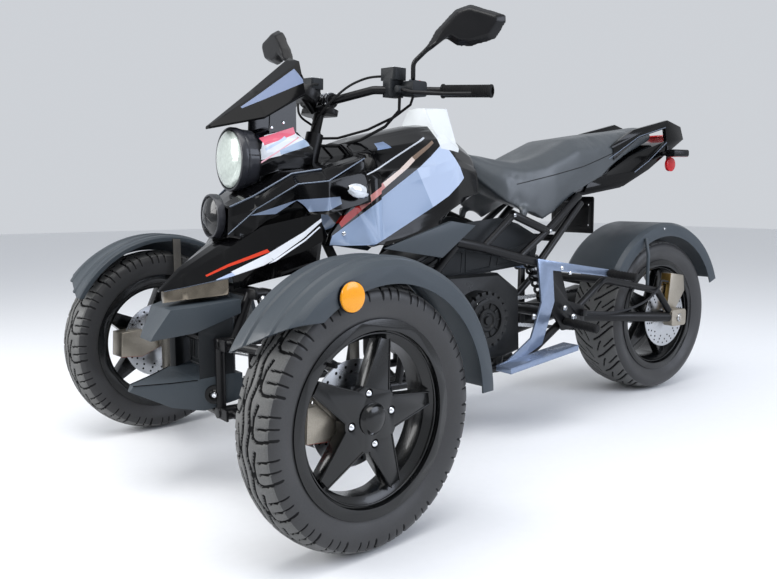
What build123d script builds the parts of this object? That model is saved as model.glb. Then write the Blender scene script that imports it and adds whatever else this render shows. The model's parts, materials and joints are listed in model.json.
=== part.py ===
from build123d import *
from math import asin, cos, pi, radians, sin, tan
import os

os.makedirs("parts", exist_ok=True)

# Motor trike with two steered front wheels and one driven rear wheel, in mm.
# +X points forward, +Y to the left, +Z up. The origin is on the ground at the middle.

# Driving sizes
front_axle_x = 858
wheelbase = 1700
track = 1150
front_tyre_radius = 283
front_tyre_width = 120
rear_tyre_radius = 286
rear_tyre_width = 205
bead_radius = 190.5
flange_radius = 207.5
flange_wall = 4
fit = 0.3
running = 6
parked_steer = 6.5

rear_axle_x = front_axle_x - wheelbase
wheel_y = track / 2

# Steering
kingpin_inset = 80
kingpin_y = wheel_y - kingpin_inset
kingpin_radius = 17
kingpin_low = 195
kingpin_high = 365
ball_pin_radius = 6
eye_radius = 17
eye_height = 14
arm_length = 90
steering_arm_z = 268
tie_rod_radius = 6.5
shaft_x = 712
shaft_radius = 11
shaft_top = 480
rake = 15
stem_x = 600
stem_z = 930

# Front suspension
wishbone_tube = 11
pivot_spread = 80
pivot_y = 146
lower_pivot_z = 206
upper_pivot_z = 378
front_rail = 14

# Chassis
rail_y = 160
frame_tube = 15
engine_left = 150
pivot_half = 146
swingarm_y = 156
swingarm_tube = 17
pivot_x = -262
pivot_z = 340

# Wheels
spoke_count = 5
disc_radius = 115
disc_wall = 4
sprocket_radius = 92
sprocket_teeth = 36
chain_y = -122
chain_half = 7
spindle_radius = 20

# Front fender
fender_gap = 48
fender_radius = front_tyre_radius + fender_gap
fender_wall = 4
fender_width = 148
fender_shift = 18
fender_front = 29
fender_sweep = 149
fender_skirt = 52

exported = []


def save(shape, name):
    shape.label = name
    export_step(shape, "parts/" + name + ".step")
    exported.append(name)


def tube(points, radius, bend=0):
    with BuildPart() as made:
        with BuildLine() as path:
            if bend:
                FilletPolyline(*points, radius=bend)
            else:
                Polyline(*points)
        with BuildSketch(Plane(path.line ^ 0)):
            Circle(radius)
        sweep(transition=Transition.ROUND)
    return made.part


def cord_radii(points):
    # each arc takes 0.45 of the shorter run beside it
    runs = [Vector(*b) - Vector(*a) for a, b in zip(points, points[1:])]
    return [
        0.45 * min(a.length, b.length) / tan(radians(a.get_angle(b)) / 2)
        for a, b in zip(runs, runs[1:])
    ]


def cord(points, radius):
    radii = cord_radii(points)
    print("cord arcs", [round(r) for r in radii], "mm on a", 2 * radius, "mm cord")
    with BuildPart() as made:
        with BuildLine() as path:
            FilletPolyline(*points, radius=radii)
        with BuildSketch(Plane(path.line ^ 0)):
            Circle(radius)
        sweep()
    return made.part


def rod(start, end, radius):
    a, b = Vector(*start), Vector(*end)
    with BuildPart() as made:
        with BuildSketch(Plane(origin=a, z_dir=b - a)):
            Circle(radius)
        extrude(amount=(b - a).length)
    return made.part


def body_loft(stations):
    # each station: x, then the left half outline as (y, z) from the top centre to the bottom centre
    with BuildPart() as made:
        for x, outline in stations:
            with BuildSketch(Plane.YZ.offset(x)):
                with BuildLine():
                    Polyline(*outline, *[(-y, z) for y, z in reversed(outline) if y], close=True)
                make_face()
        loft(ruled=True)
    return made.part


def parked(shape, x, y):
    return shape.rotate(Axis((x, y, 0), (0, 0, 1)), parked_steer)


def right_of(shape):
    return mirror(shape, about=Plane.XZ)


# Wheels, made about the Y axis at the origin

def tyre_profile(radius, width):
    half = width / 2
    bead = half * 0.86 - flange_wall
    shoulder = half * 0.84
    with BuildSketch() as profile:
        with BuildLine():
            Polyline((-bead, flange_radius), (-bead, bead_radius + fit), (bead, bead_radius + fit), (bead, flange_radius))
            ThreePointArc((bead, flange_radius), (half, (flange_radius + radius) / 2), (shoulder, radius - 12))
            ThreePointArc((shoulder, radius - 12), (0, radius), (-shoulder, radius - 12))
            ThreePointArc((-shoulder, radius - 12), (-half, (flange_radius + radius) / 2), (-bead, flange_radius))
        make_face()
    return profile.sketch


def rim_profile(width):
    bead = width / 2 * 0.86 - flange_wall
    outer = bead + flange_wall
    well = bead * 0.45
    drop = bead_radius - 20
    wall = 6
    seat = bead * 0.75
    with BuildSketch() as profile:
        with BuildLine():
            Polyline(
                (-outer, flange_radius), (-bead - fit, flange_radius), (-bead - fit, bead_radius),
                (-seat, bead_radius), (-well, drop), (well, drop), (seat, bead_radius),
                (bead + fit, bead_radius), (bead + fit, flange_radius), (outer, flange_radius),
                (outer, bead_radius - wall), (seat, bead_radius - wall), (well, drop - wall),
                (-well, drop - wall), (-seat, bead_radius - wall), (-outer, bead_radius - wall),
                close=True,
            )
        make_face()
    return profile.sketch


def turned_about_axle(profile):
    with BuildPart() as made:
        with BuildSketch(Plane.YZ):
            add(profile)
        revolve(axis=axle)
    return made.part


wheel_side = Plane(origin=(0, 0, 0), x_dir=(-1, 0, 0), z_dir=(0, 1, 0))
axle = Axis((0, 0, 0), (0, 1, 0))

hub_radius = 72
spoke_turn = 77
lug_turn = 8
hub_bore = spindle_radius + fit
lug_circle = 55
lug_hole = 10
spoke_root = 40
spoke_tip = 16
spoke_depth = 30
spoke_end = bead_radius - 25


def star(face_y, bore):
    # five tapering spokes with a proud hub, back face at face_y
    with BuildPart() as made:
        with BuildSketch(wheel_side.offset(face_y)):
            Circle(hub_radius)
            with PolarLocations(0, spoke_count, start_angle=spoke_turn):
                Polygon((30, -spoke_root), (30, spoke_root), (spoke_end, spoke_tip), (spoke_end, -spoke_tip), align=None)
        extrude(amount=spoke_depth)
        with BuildSketch(wheel_side.offset(face_y + spoke_depth)):
            with PolarLocations(lug_circle, 4, start_angle=lug_turn):
                Circle(lug_hole)
        extrude(amount=-spoke_depth / 2, mode=Mode.SUBTRACT)
        if bore:
            with BuildSketch(wheel_side.offset(face_y)):
                Circle(bore)
            extrude(amount=spoke_depth, mode=Mode.SUBTRACT)
    return made.part


with BuildPart() as front_tyre:
    add(turned_about_axle(tyre_profile(front_tyre_radius, front_tyre_width)))

with BuildPart() as rear_tyre:
    add(turned_about_axle(tyre_profile(rear_tyre_radius, rear_tyre_width)))

front_face = 6
with BuildPart() as front_rim:
    add(turned_about_axle(rim_profile(front_tyre_width)))
    add(star(front_face, 0))

front_disc_y = -26
with BuildPart() as front_disc:
    with BuildSketch(wheel_side.offset(front_disc_y)):
        Circle(disc_radius)
    extrude(amount=disc_wall)
    with BuildSketch(wheel_side.offset(front_disc_y)):
        Circle(46)
    extrude(amount=front_face - front_disc_y)
    with BuildSketch(wheel_side.offset(front_disc_y)):
        Circle(hub_bore)
    extrude(amount=front_face - front_disc_y - 6, mode=Mode.SUBTRACT)

rear_face = 30
rear_disc_y = 108
axle_radius = 12
sprocket_wall = 7
with BuildPart() as rear_rim:
    add(turned_about_axle(rim_profile(rear_tyre_width)))
    add(star(rear_face, axle_radius + fit))

with BuildPart() as rear_hub:
    with BuildSketch(wheel_side.offset(rear_disc_y)):
        Circle(disc_radius)
    extrude(amount=disc_wall)
    with BuildSketch(wheel_side.offset(rear_face + spoke_depth)):
        Circle(44)
    extrude(amount=rear_disc_y - rear_face - spoke_depth)
    with BuildSketch(wheel_side.offset(rear_face + spoke_depth)):
        Circle(axle_radius + fit)
    extrude(amount=rear_disc_y - rear_face, mode=Mode.SUBTRACT)

    with BuildSketch(wheel_side.offset(chain_y - sprocket_wall / 2)):
        Circle(sprocket_radius - chain_half - 13)
        with PolarLocations(sprocket_radius - chain_half - 14, sprocket_teeth):
            Rectangle(14, 5)
        Circle(axle_radius + fit, mode=Mode.SUBTRACT)
    extrude(amount=sprocket_wall)
    with BuildSketch(wheel_side.offset(chain_y + sprocket_wall / 2)):
        Circle(48)
        Circle(axle_radius + fit, mode=Mode.SUBTRACT)
    extrude(amount=rear_face - chain_y - sprocket_wall / 2)

for side, name in ((1, "left"), (-1, "right")):
    for piece, label in ((front_tyre, "front_tyre"), (front_rim, "front_rim"), (front_disc, "front_disc")):
        straight = Pos(front_axle_x, wheel_y, front_tyre_radius) * piece.part
        if side < 0:
            straight = right_of(straight)
        save(parked(straight, front_axle_x, side * kingpin_y), label + "_" + name)
for piece, label in (
    (rear_tyre, "rear_tyre"), (rear_rim, "rear_rim"), (rear_hub, "rear_hub"),
):
    save(Pos(rear_axle_x, 0, rear_tyre_radius) * piece.part, label)

# Steering knuckles with calipers and fenders, left one straight ahead

fender_centre = (front_axle_x - fender_shift, 0, front_tyre_radius)
fender_inner_y = wheel_y - fender_width / 2
fender_outer_y = wheel_y + fender_width / 2 + 4
inner_skirt = 18
lip_low = 436
lip_high = 506
rib_height = 4

with BuildPart() as knuckle:
    with BuildSketch(Plane.XY.offset(kingpin_low)):
        with Locations((front_axle_x, kingpin_y)):
            Circle(kingpin_radius)
    extrude(amount=kingpin_high - kingpin_low)
    with BuildSketch(Plane.XY.offset(kingpin_low - eye_height - 1)):
        with Locations((front_axle_x, kingpin_y)):
            Circle(ball_pin_radius)
    extrude(amount=kingpin_high - kingpin_low + 2 * (eye_height + 1))
    add(rod(
        (front_axle_x, kingpin_y, front_tyre_radius),
        (front_axle_x, wheel_y + front_face - 12, front_tyre_radius),
        spindle_radius,
    ))
    with BuildSketch(Plane.XY.offset(steering_arm_z)):
        with Locations((front_axle_x - arm_length / 2, kingpin_y)):
            SlotCenterToCenter(arm_length, 26)
    extrude(amount=10)
    with BuildSketch(Plane.XY.offset(steering_arm_z - 24)):
        with Locations((front_axle_x - arm_length, kingpin_y)):
            Circle(ball_pin_radius)
    extrude(amount=58)

    with BuildSketch(Plane.XZ.offset(-(fender_inner_y - 4 - fit))):
        with BuildLine():
            Polyline(
                (front_axle_x - 4, 312), (front_axle_x - 34, 345), (front_axle_x - 32, front_tyre_radius + fender_radius - 10),
                (front_axle_x - 58, front_tyre_radius + fender_radius - 12), (front_axle_x - 62, 335), (front_axle_x - 8, 270),
                close=True,
            )
        make_face()
    extrude(amount=-4)

caliper_gap = 5.5
with BuildPart() as front_caliper:
    with BuildSketch(Plane.XZ.offset(-(kingpin_y + kingpin_radius))):
        with BuildLine():
            Polyline(
                (front_axle_x + 10, front_tyre_radius + 14), (front_axle_x + 70, front_tyre_radius + 44),
                (front_axle_x + 138, front_tyre_radius + 40), (front_axle_x + 142, front_tyre_radius - 34),
                (front_axle_x + 74, front_tyre_radius - 40), (front_axle_x + 10, front_tyre_radius - 14),
                close=True,
            )
        make_face()
    extrude(amount=-(wheel_y + front_disc_y + disc_wall + 24 - kingpin_y - kingpin_radius))
    with BuildSketch(Plane.XZ.offset(-(wheel_y + front_disc_y - caliper_gap))):
        with Locations((front_axle_x, front_tyre_radius)):
            Circle(disc_radius + caliper_gap)
    extrude(amount=-(disc_wall + 2 * caliper_gap), mode=Mode.SUBTRACT)
    with BuildSketch(Plane.XZ.offset(-(wheel_y + front_disc_y - caliper_gap))):
        with Locations((front_axle_x, front_tyre_radius)):
            Circle(46 + running)
    extrude(amount=-80, mode=Mode.SUBTRACT)
    with BuildSketch(Plane.XZ.offset(-kingpin_y)):
        with Locations((front_axle_x, front_tyre_radius)):
            Circle(spindle_radius + fit)
    extrude(amount=-80, mode=Mode.SUBTRACT)

with BuildPart() as fender:
    start = radians(fender_front)
    with BuildSketch(Plane(origin=fender_centre, x_dir=(0, 1, 0), z_dir=(sin(start), 0, -cos(start)))):
        with BuildLine():
            Polyline(
                (fender_inner_y, fender_radius - inner_skirt), (fender_inner_y, fender_radius - 6),
                (fender_inner_y + 10, fender_radius), (wheel_y - 40, fender_radius),
                (wheel_y - 36, fender_radius + rib_height), (wheel_y - 26, fender_radius + rib_height),
                (wheel_y - 22, fender_radius), (wheel_y + 22, fender_radius),
                (wheel_y + 26, fender_radius + rib_height), (wheel_y + 36, fender_radius + rib_height),
                (wheel_y + 40, fender_radius), (fender_outer_y - 12, fender_radius - 4),
                (fender_outer_y, fender_radius - 16), (fender_outer_y, fender_radius - fender_skirt),
                (fender_outer_y - fender_wall, fender_radius - fender_skirt),
                (fender_outer_y - fender_wall, fender_radius - 18),
                (fender_outer_y - 15, fender_radius - 8), (fender_inner_y + 12, fender_radius - fender_wall),
                (fender_inner_y + fender_wall, fender_radius - 10),
                (fender_inner_y + fender_wall, fender_radius - inner_skirt), close=True,
            )
        make_face()
    revolve(axis=Axis(fender_centre, (0, -1, 0)), revolution_arc=fender_sweep)
    with BuildSketch(Plane.YZ.offset(front_axle_x + 110)):
        with BuildLine():
            Polyline(
                (fender_inner_y - 6, lip_low), (fender_outer_y + 6, lip_high), (fender_outer_y + 6, lip_low - 50),
                (fender_inner_y - 6, lip_low - 50), close=True,
            )
        make_face()
    extrude(amount=250, mode=Mode.SUBTRACT)

reflector_radius = 31
with BuildPart() as fender_reflector:
    with BuildSketch(Plane.XZ.offset(-(fender_outer_y))):
        with Locations((front_axle_x + 90, front_tyre_radius + fender_radius - 68)):
            Circle(reflector_radius)
    extrude(amount=-10)

for side, name in ((1, "left"), (-1, "right")):
    for piece, label in (
        (knuckle, "knuckle"), (front_caliper, "front_caliper"), (fender, "front_fender"),
        (fender_reflector, "fender_reflector"),
    ):
        straight = piece.part
        if side < 0:
            straight = right_of(straight)
        save(parked(straight, front_axle_x, side * kingpin_y), label + "_" + name)

# Steering shaft with its drop arm, tie rods

pitman_z = steering_arm_z
with BuildPart() as steering_shaft:
    add(rod((shaft_x, 0, pitman_z), (shaft_x, 0, shaft_top), shaft_radius))
    with BuildSketch(Plane.XY.offset(pitman_z)):
        with BuildLine():
            Polyline(
                (shaft_x + 16, 17), (shaft_x - arm_length - 14, 13),
                (shaft_x - arm_length - 14, -13), (shaft_x + 16, -17), close=True,
            )
        make_face()
    extrude(amount=10)
    add(rod((shaft_x - arm_length, 0, pitman_z - 24), (shaft_x - arm_length, 0, pitman_z + 34), ball_pin_radius))
save(parked(steering_shaft.part, shaft_x, 0), "steering_shaft")

rod_above = steering_arm_z + 10 + 1 + eye_height / 2
rod_below = steering_arm_z - 1 - eye_height / 2
for side, name, tie_rod_z in ((1, "left", rod_above), (-1, "right", rod_below)):
    with BuildPart() as tie_rod:
        inner = (shaft_x - arm_length, 0, tie_rod_z)
        outer = (front_axle_x - arm_length, side * kingpin_y, tie_rod_z)
        add(rod(inner, outer, tie_rod_radius))
        for end in (inner, outer):
            with BuildSketch(Plane.XY.offset(tie_rod_z - eye_height / 2)):
                with Locations((end[0], end[1])):
                    Circle(14)
            extrude(amount=eye_height)
        for end in (inner, outer):
            with BuildSketch(Plane.XY.offset(tie_rod_z - eye_height)):
                with Locations((end[0], end[1])):
                    Circle(ball_pin_radius + fit)
            extrude(amount=2 * eye_height, mode=Mode.SUBTRACT)
    turn = radians(parked_steer)
    shift = Pos(arm_length * (1 - cos(turn)), -arm_length * sin(turn), 0)
    save(shift * tie_rod.part, "tie_rod_" + name)

# Handlebar, made straight ahead and turned about the raked stem

stem_axis = Axis((stem_x, 0, stem_z), (-sin(radians(rake)), 0, cos(radians(rake))))


def on_stem(z):
    return stem_x + (stem_z - z) * tan(radians(rake))


def turned(shape):
    return shape.rotate(stem_axis, parked_steer)


grip_radius = 16
bar_radius = 11
bar_z = 992
bar_x = on_stem(bar_z) + 4
with BuildPart() as handlebar:
    half = [
        (bar_x, 0, bar_z), (bar_x, 60, bar_z), (bar_x - 60, 150, bar_z + 26), (bar_x - 200, 250, bar_z + 28),
        (bar_x - 252, 385, bar_z + 24),
    ]
    add(tube(half, bar_radius, 32))
    add(tube([(x, -y, z) for x, y, z in half], bar_radius, 32))

with BuildPart() as stem:
    add(rod((on_stem(540), 0, 540), (on_stem(960), 0, 960), 14))
    with BuildSketch(Plane(origin=(on_stem(955), 0, 955), x_dir=(0, 1, 0), z_dir=stem_axis.direction)):
        SlotCenterToCenter(90, 46)
    extrude(amount=14)
    for y in (38, -38):
        add(rod((on_stem(958), y, 958), (bar_x, y, bar_z - bar_radius - 1), 15))
        with BuildSketch(Plane.XZ.offset(-(y - 13))):
            with Locations((bar_x, bar_z)):
                Circle(20)
                Circle(bar_radius + 0.2, mode=Mode.SUBTRACT)
        extrude(amount=-26)

with BuildPart() as grips:
    for side in (1, -1):
        a = Vector(bar_x - 200, side * 250, bar_z + 28)
        b = Vector(bar_x - 252, side * 385, bar_z + 24)
        with BuildSketch(Plane(origin=a + (b - a) * 0.1, z_dir=b - a)):
            Circle(grip_radius)
            Circle(bar_radius + 0.2, mode=Mode.SUBTRACT)
        extrude(amount=(b - a).length * 0.9 + 6)

with BuildPart() as pods:
    for side in (1, -1):
        with BuildSketch(Plane.XZ.offset(-side * 205)):
            with Locations((bar_x - 137, bar_z + 30)):
                RectangleRounded(52, 40, 8)
        extrude(amount=-side * 42)
        with BuildSketch(Plane.XY.offset(bar_z + 52)):
            with Locations((bar_x - 105, side * 178)):
                RectangleRounded(46, 58, 8)
        extrude(amount=32)
        with BuildSketch(Plane.XY.offset(bar_z + 8)):
            with Locations((bar_x - 103, side * 180)):
                RectangleRounded(48, 36, 6)
        extrude(amount=46)
        add(rod((bar_x - 120, side * 216, bar_z + 27), (bar_x - 82, side * 216, bar_z + 27), 9))
    add(handlebar.part, mode=Mode.SUBTRACT)

with BuildPart() as levers:
    for side in (1, -1):
        points = [
            (bar_x - 94, side * 224, bar_z + 26), (bar_x - 104, side * 250, bar_z + 18),
            (bar_x - 148, side * 330, bar_z + 12), (bar_x - 186, side * 384, bar_z + 12),
        ]
        add(tube(points, 5, 18))
    add(pods.part, mode=Mode.SUBTRACT)

mirror_wall = 26
mirror_outline = [
    (-120, -58), (-93, -9), (-41, 45), (-2, 57), (89, 29), (94, 12), (66, -33), (0, -51), (-33, -48), (-65, -30),
    (-108, -62),
]
# side, head centre, heading of the head away from its stalk, stalk elbow
mirror_rows = [
    (1, (391, 365, 1172), 125.6, (470, 240, 1086)),
    (-1, (489, -345, 1178), 260, (484, -236, 1090)),
]
with BuildPart() as mirrors:
    for side, centre, heading, elbow in mirror_rows:
        along = Vector(cos(radians(heading)), sin(radians(heading)), 0)
        back = Vector(along.Y, -along.X, 0) * side
        for depth, share in ((0, 1), (mirror_wall, 0.72)):
            with BuildSketch(Plane(origin=Vector(*centre) + back * depth, x_dir=along, z_dir=back)):
                Polygon(*[(u * share, side * v * share) for u, v in mirror_outline], align=None)
        loft(ruled=True)
        neck = Vector(*centre) + along * -104 + Vector(0, 0, -50) + back * 8
        add(tube([(bar_x - 130, side * 228, bar_z + 46), elbow, neck], 7, 24))
    add(pods.part, mode=Mode.SUBTRACT)

gauge_radius = 42
with BuildPart() as gauge:
    with BuildSketch(Plane(origin=(bar_x + 62, 0, bar_z + 2), x_dir=(0, 1, 0), z_dir=(-0.5, 0, 0.87))):
        Circle(gauge_radius)
    extrude(amount=26)
    add(rod((bar_x + 56, 0, bar_z + 6), (on_stem(962) + 20, 0, 962), 9))
    add(stem.part, mode=Mode.SUBTRACT)


cable_radius = 3.2
with BuildPart() as bar_cables:
    for side in (1, -1):
        add(cord([
            (bar_x - 104, side * 149, bar_z + 66), (bar_x - 66, side * 122, bar_z + 62),
            (bar_x - 22, side * 98, bar_z + 40), (bar_x + 20, side * 80, bar_z + 2),
            (bar_x + 40, side * 46, bar_z - 40), (on_stem(926) + 10, side * 4, 926),
        ], cable_radius))
    add(stem.part, mode=Mode.SUBTRACT)
    add(pods.part, mode=Mode.SUBTRACT)

# Front frame, wishbones and shocks

rail_in = 116
frame_front_x = front_axle_x + 108
frame_back_x = front_axle_x - 150
head_low = 720
head_high = 904
head_radius = 24
tower_z = 496
clevis_in = 16.3
clevis_out = 22.3
with BuildPart() as front_frame:
    for z in (lower_pivot_z, upper_pivot_z):
        for y in (rail_in, -rail_in):
            add(rod((frame_back_x, y, z), (frame_front_x, y, z), front_rail))
        for x in (frame_front_x - 12, front_axle_x - pivot_spread - 26):
            add(rod((x, -rail_in, z), (x, rail_in, z), front_rail - 2))
    for x in (frame_front_x - 12, front_axle_x - pivot_spread - 26):
        for y in (rail_in, -rail_in):
            add(rod((x, y, lower_pivot_z), (x, y, upper_pivot_z), front_rail - 2))
    for y in (rail_in, -rail_in):
        add(rod((front_axle_x - 60, y, upper_pivot_z), (front_axle_x - 12, y, tower_z), front_rail - 2))
        add(rod((front_axle_x + 60, y, upper_pivot_z), (front_axle_x + 12, y, tower_z), front_rail - 2))
    add(rod((front_axle_x, -rail_in - 14, tower_z), (front_axle_x, rail_in + 14, tower_z), 14))
    with Locations(*[(front_axle_x, y * (rail_in + 10), tower_z) for y in (1, -1)]):
        Box(2 * clevis_out, 16, 24)
    for x in (-clevis_out, clevis_in):
        with BuildSketch(Plane.YZ.offset(front_axle_x + x)):
            with Locations(*[(y * (rail_in + 28), tower_z) for y in (1, -1)]):
                Rectangle(44, 24)
        extrude(amount=clevis_out - clevis_in)
    for z in (lower_pivot_z, upper_pivot_z):
        for y in (1, -1):
            for x in (-pivot_spread, pivot_spread):
                for end in (-24.3, 18.3):
                    with BuildSketch(Plane.YZ.offset(front_axle_x + x + end)):
                        with Locations((y * (rail_in + 23), z)):
                            Rectangle(46, 28)
                    extrude(amount=6)
save(front_frame.part, "front_frame")

shock_low = (front_axle_x, 350, 228)
shock_high = (front_axle_x, 152, tower_z)
ball_low_z = kingpin_low - 1 - eye_height
ball_high_z = kingpin_high + 1
for side, name in ((1, "left"), (-1, "right")):
    with BuildPart() as suspension:
        for inboard_z, ball_z in ((lower_pivot_z, ball_low_z), (upper_pivot_z, ball_high_z)):
            middle = ball_z + eye_height / 2
            for x in (-pivot_spread, pivot_spread):
                add(rod((front_axle_x + x, side * pivot_y, inboard_z), (front_axle_x, side * (kingpin_y - 8), middle), wishbone_tube))
                add(rod((front_axle_x + x - 18, side * pivot_y, inboard_z), (front_axle_x + x + 18, side * pivot_y, inboard_z), 13))
            with BuildSketch(Plane.XY.offset(ball_z)):
                with Locations((front_axle_x, side * kingpin_y)):
                    Circle(eye_radius - 3)
            extrude(amount=eye_height)
            with BuildSketch(Plane.XY.offset(ball_z - 8)):
                with Locations((front_axle_x, side * kingpin_y)):
                    Circle(ball_pin_radius + fit)
            extrude(amount=eye_height + 16, mode=Mode.SUBTRACT)
        with BuildSketch(Plane.XY.offset(kingpin_low - 0.6)):
            with Locations((front_axle_x, side * kingpin_y)):
                Circle(eye_radius + 4)
        extrude(amount=kingpin_high - kingpin_low + 1.2, mode=Mode.SUBTRACT)
        with Locations((front_axle_x, side * shock_low[1], shock_low[2] - 32)):
            Box(96, 36, 14)
        for x in (-clevis_out, clevis_in):
            with BuildSketch(Plane.YZ.offset(front_axle_x + x)):
                with Locations((side * shock_low[1], shock_low[2] - 8)):
                    Rectangle(28, 44)
            extrude(amount=clevis_out - clevis_in)
    save(suspension.part, "wishbones_" + name)

with BuildPart() as front_shocks:
    for side in (1, -1):
        low = Vector(shock_low[0], side * shock_low[1], shock_low[2])
        high = Vector(shock_high[0], side * shock_high[1], shock_high[2])
        add(rod(low, high, 9))
        add(rod(low + (high - low) * 0.22, low + (high - low) * 0.86, 26))
        for end in (low, high):
            add(rod((end.X - 16, end.Y, end.Z), (end.X + 16, end.Y, end.Z), 14))
save(front_shocks.part, "front_shocks")

# Main frame

cradle_y = 128
cradle_z = 200
frame_low = [(236, 603), (128, 582), (-39, 541), (-118, 524)]
shock_top_x = -191
shock_top_z = 600
with BuildPart() as frame_sides:
    for side in (1, -1):
        add(tube([(x, side * rail_y, z) for x, z in frame_low], frame_tube, 30))
        add(rod((128, side * rail_y, 582), (11, side * rail_y, 672), frame_tube - 4))
        add(rod((11, side * rail_y, 680), (-145, side * rail_y, 624), frame_tube - 2))
        add(rod((-20, side * rail_y, 546), (-145, side * rail_y, 624), frame_tube - 4))
        add(rod((-145, side * rail_y, 624), (-300, side * (rail_y - 8), 735), frame_tube - 3))
        add(rod((-112, side * rail_y, 526), (-309, side * (rail_y - 8), 712), frame_tube - 3))
        with BuildSketch(Plane.XZ.offset(-side * (rail_y + 5))):
            with BuildLine():
                Polyline((-84, 542), (-196, 508), (-236, 396), (-316, 372), (-318, 306), (-214, 300), (-132, 400), close=True)
            make_face()
        extrude(amount=-side * 8)
    with Locations((-303, rail_y + 20, 352)):
        Box(18, 18, 22)
save(frame_sides.part, "frame_sides")

with BuildPart() as frame_spine:
    add(rod((on_stem(head_low), 0, head_low), (on_stem(head_high), 0, head_high), head_radius))
    for side in (1, -1):
        add(tube([
            (on_stem(780), 0, 780), (470, side * 60, 640), (330, side * cradle_y, 590), (236, side * rail_y, 603),
        ], frame_tube - 1, 40))
        add(tube([
            (frame_back_x, side * rail_in, upper_pivot_z), (560, side * 70, 500), (on_stem(740), side * 8, 740),
        ], frame_tube - 2, 40))
    add(frame_sides.part, mode=Mode.SUBTRACT)
    add(front_frame.part, mode=Mode.SUBTRACT)
    add(rod((on_stem(600), 0, 600), (on_stem(960), 0, 960), 14 + fit), mode=Mode.SUBTRACT)
save(frame_spine.part, "frame_spine")

with BuildPart() as frame_cradle:
    for side in (1, -1):
        add(tube([
            (frame_back_x, side * rail_in, lower_pivot_z), (420, side * cradle_y, cradle_z),
            (-60, side * cradle_y, cradle_z), (-225, side * (rail_y - 10), 320),
        ], frame_tube - 2, 60))
        add(tube([
            (420, side * cradle_y, cradle_z), (380, side * cradle_y, 420), (236, side * rail_y, 590),
        ], frame_tube - 3, 60))
    for x, z, half in (
        (400, cradle_z, cradle_y), (-40, cradle_z, cradle_y), (shock_top_x, shock_top_z, rail_y - 4),
        (-290, 724, rail_y - 8),
    ):
        add(rod((x, -half, z), (x, half, z), frame_tube - 4))
    add(frame_sides.part, mode=Mode.SUBTRACT)
    add(front_frame.part, mode=Mode.SUBTRACT)
    add(frame_spine.part, mode=Mode.SUBTRACT)
save(frame_cradle.part, "frame_cradle")

# Engine and exhaust

sprocket_x = -112
sprocket_z = 335
sprocket_front = 32
cover_x = 133
cover_z = 367
cover_radius = 86
cover_notches = 20
with BuildPart() as engine:
    with BuildSketch(Plane.XZ.offset(engine_left - 12)):
        with BuildLine():
            Polyline((-58, 250), (20, 232), (250, 232), (318, 290), (312, 420), (240, 500), (40, 500), (-50, 440), close=True)
        make_face()
    extrude(amount=-2 * (engine_left - 12))
    chamfer(engine.faces().filter_by(Axis.Y).edges(), 8)
    for k in range(7):
        with BuildSketch(Plane(origin=(238 + 7 * k, 0, 452 + 17 * k), z_dir=(0.38, 0, 0.92))):
            RectangleRounded(136, 220, 18)
        extrude(amount=9)
    with BuildSketch(Plane(origin=(230, 0, 430), z_dir=(0.38, 0, 0.92))):
        RectangleRounded(120, 204, 14)
    extrude(amount=150)
    for side in (1, -1):
        with BuildSketch(Plane.XZ.offset(-side * (engine_left - 12))):
            with Locations((cover_x, cover_z)):
                Circle(cover_radius)
        extrude(amount=-side * 48)
        with BuildSketch(Plane.XZ.offset(-side * (engine_left + 36))):
            with Locations((cover_x, cover_z)):
                Circle(cover_radius - 20)
                Circle(cover_radius - 34, mode=Mode.SUBTRACT)
        extrude(amount=-side * 8)
        with BuildSketch(Plane.XZ.offset(-side * (engine_left + 36))):
            with Locations((cover_x, cover_z)):
                with PolarLocations(cover_radius - 3, cover_notches):
                    Rectangle(14, 9)
        extrude(amount=side * 16, mode=Mode.SUBTRACT)
    add(rod((sprocket_x, -60, sprocket_z), (sprocket_x, chain_y - 6, sprocket_z), sprocket_front - chain_half - fit))
    with Locations((-76, -86, sprocket_z)):
        Box(84, 52, 46)
    for x in (30, 230):
        for y in (cradle_y, -cradle_y):
            add(rod((x, y, cradle_z), (x, y, 240), 15))
    add(frame_cradle.part, mode=Mode.SUBTRACT)
    add(frame_spine.part, mode=Mode.SUBTRACT)
save(engine.part, "engine")

pipe_radius = 19
muffler_radius = 50
muffler_start = (-350.7, -239.5, 254.9)
muffler_end = (-780, -251.5, 326.8)
with BuildPart() as exhaust:
    add(tube([
        (332.4, -60, 495.4), (388, -60, 472.4), (388, -60, 250), (300, -60, 164), (-215, -60, 164),
        (-262, -237, 240), muffler_start,
    ], pipe_radius, 42))
    add(rod(muffler_start, muffler_end, muffler_radius))
    with BuildSketch(Plane.XZ.offset(182.6)):
        with BuildLine():
            Polyline((-376, 250), (-404, 254), (-402, 482), (-382, 482), close=True)
        make_face()
    extrude(amount=18)
save(exhaust.part, "exhaust")

# Swingarm, chain, rear shock, rear brake

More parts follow.
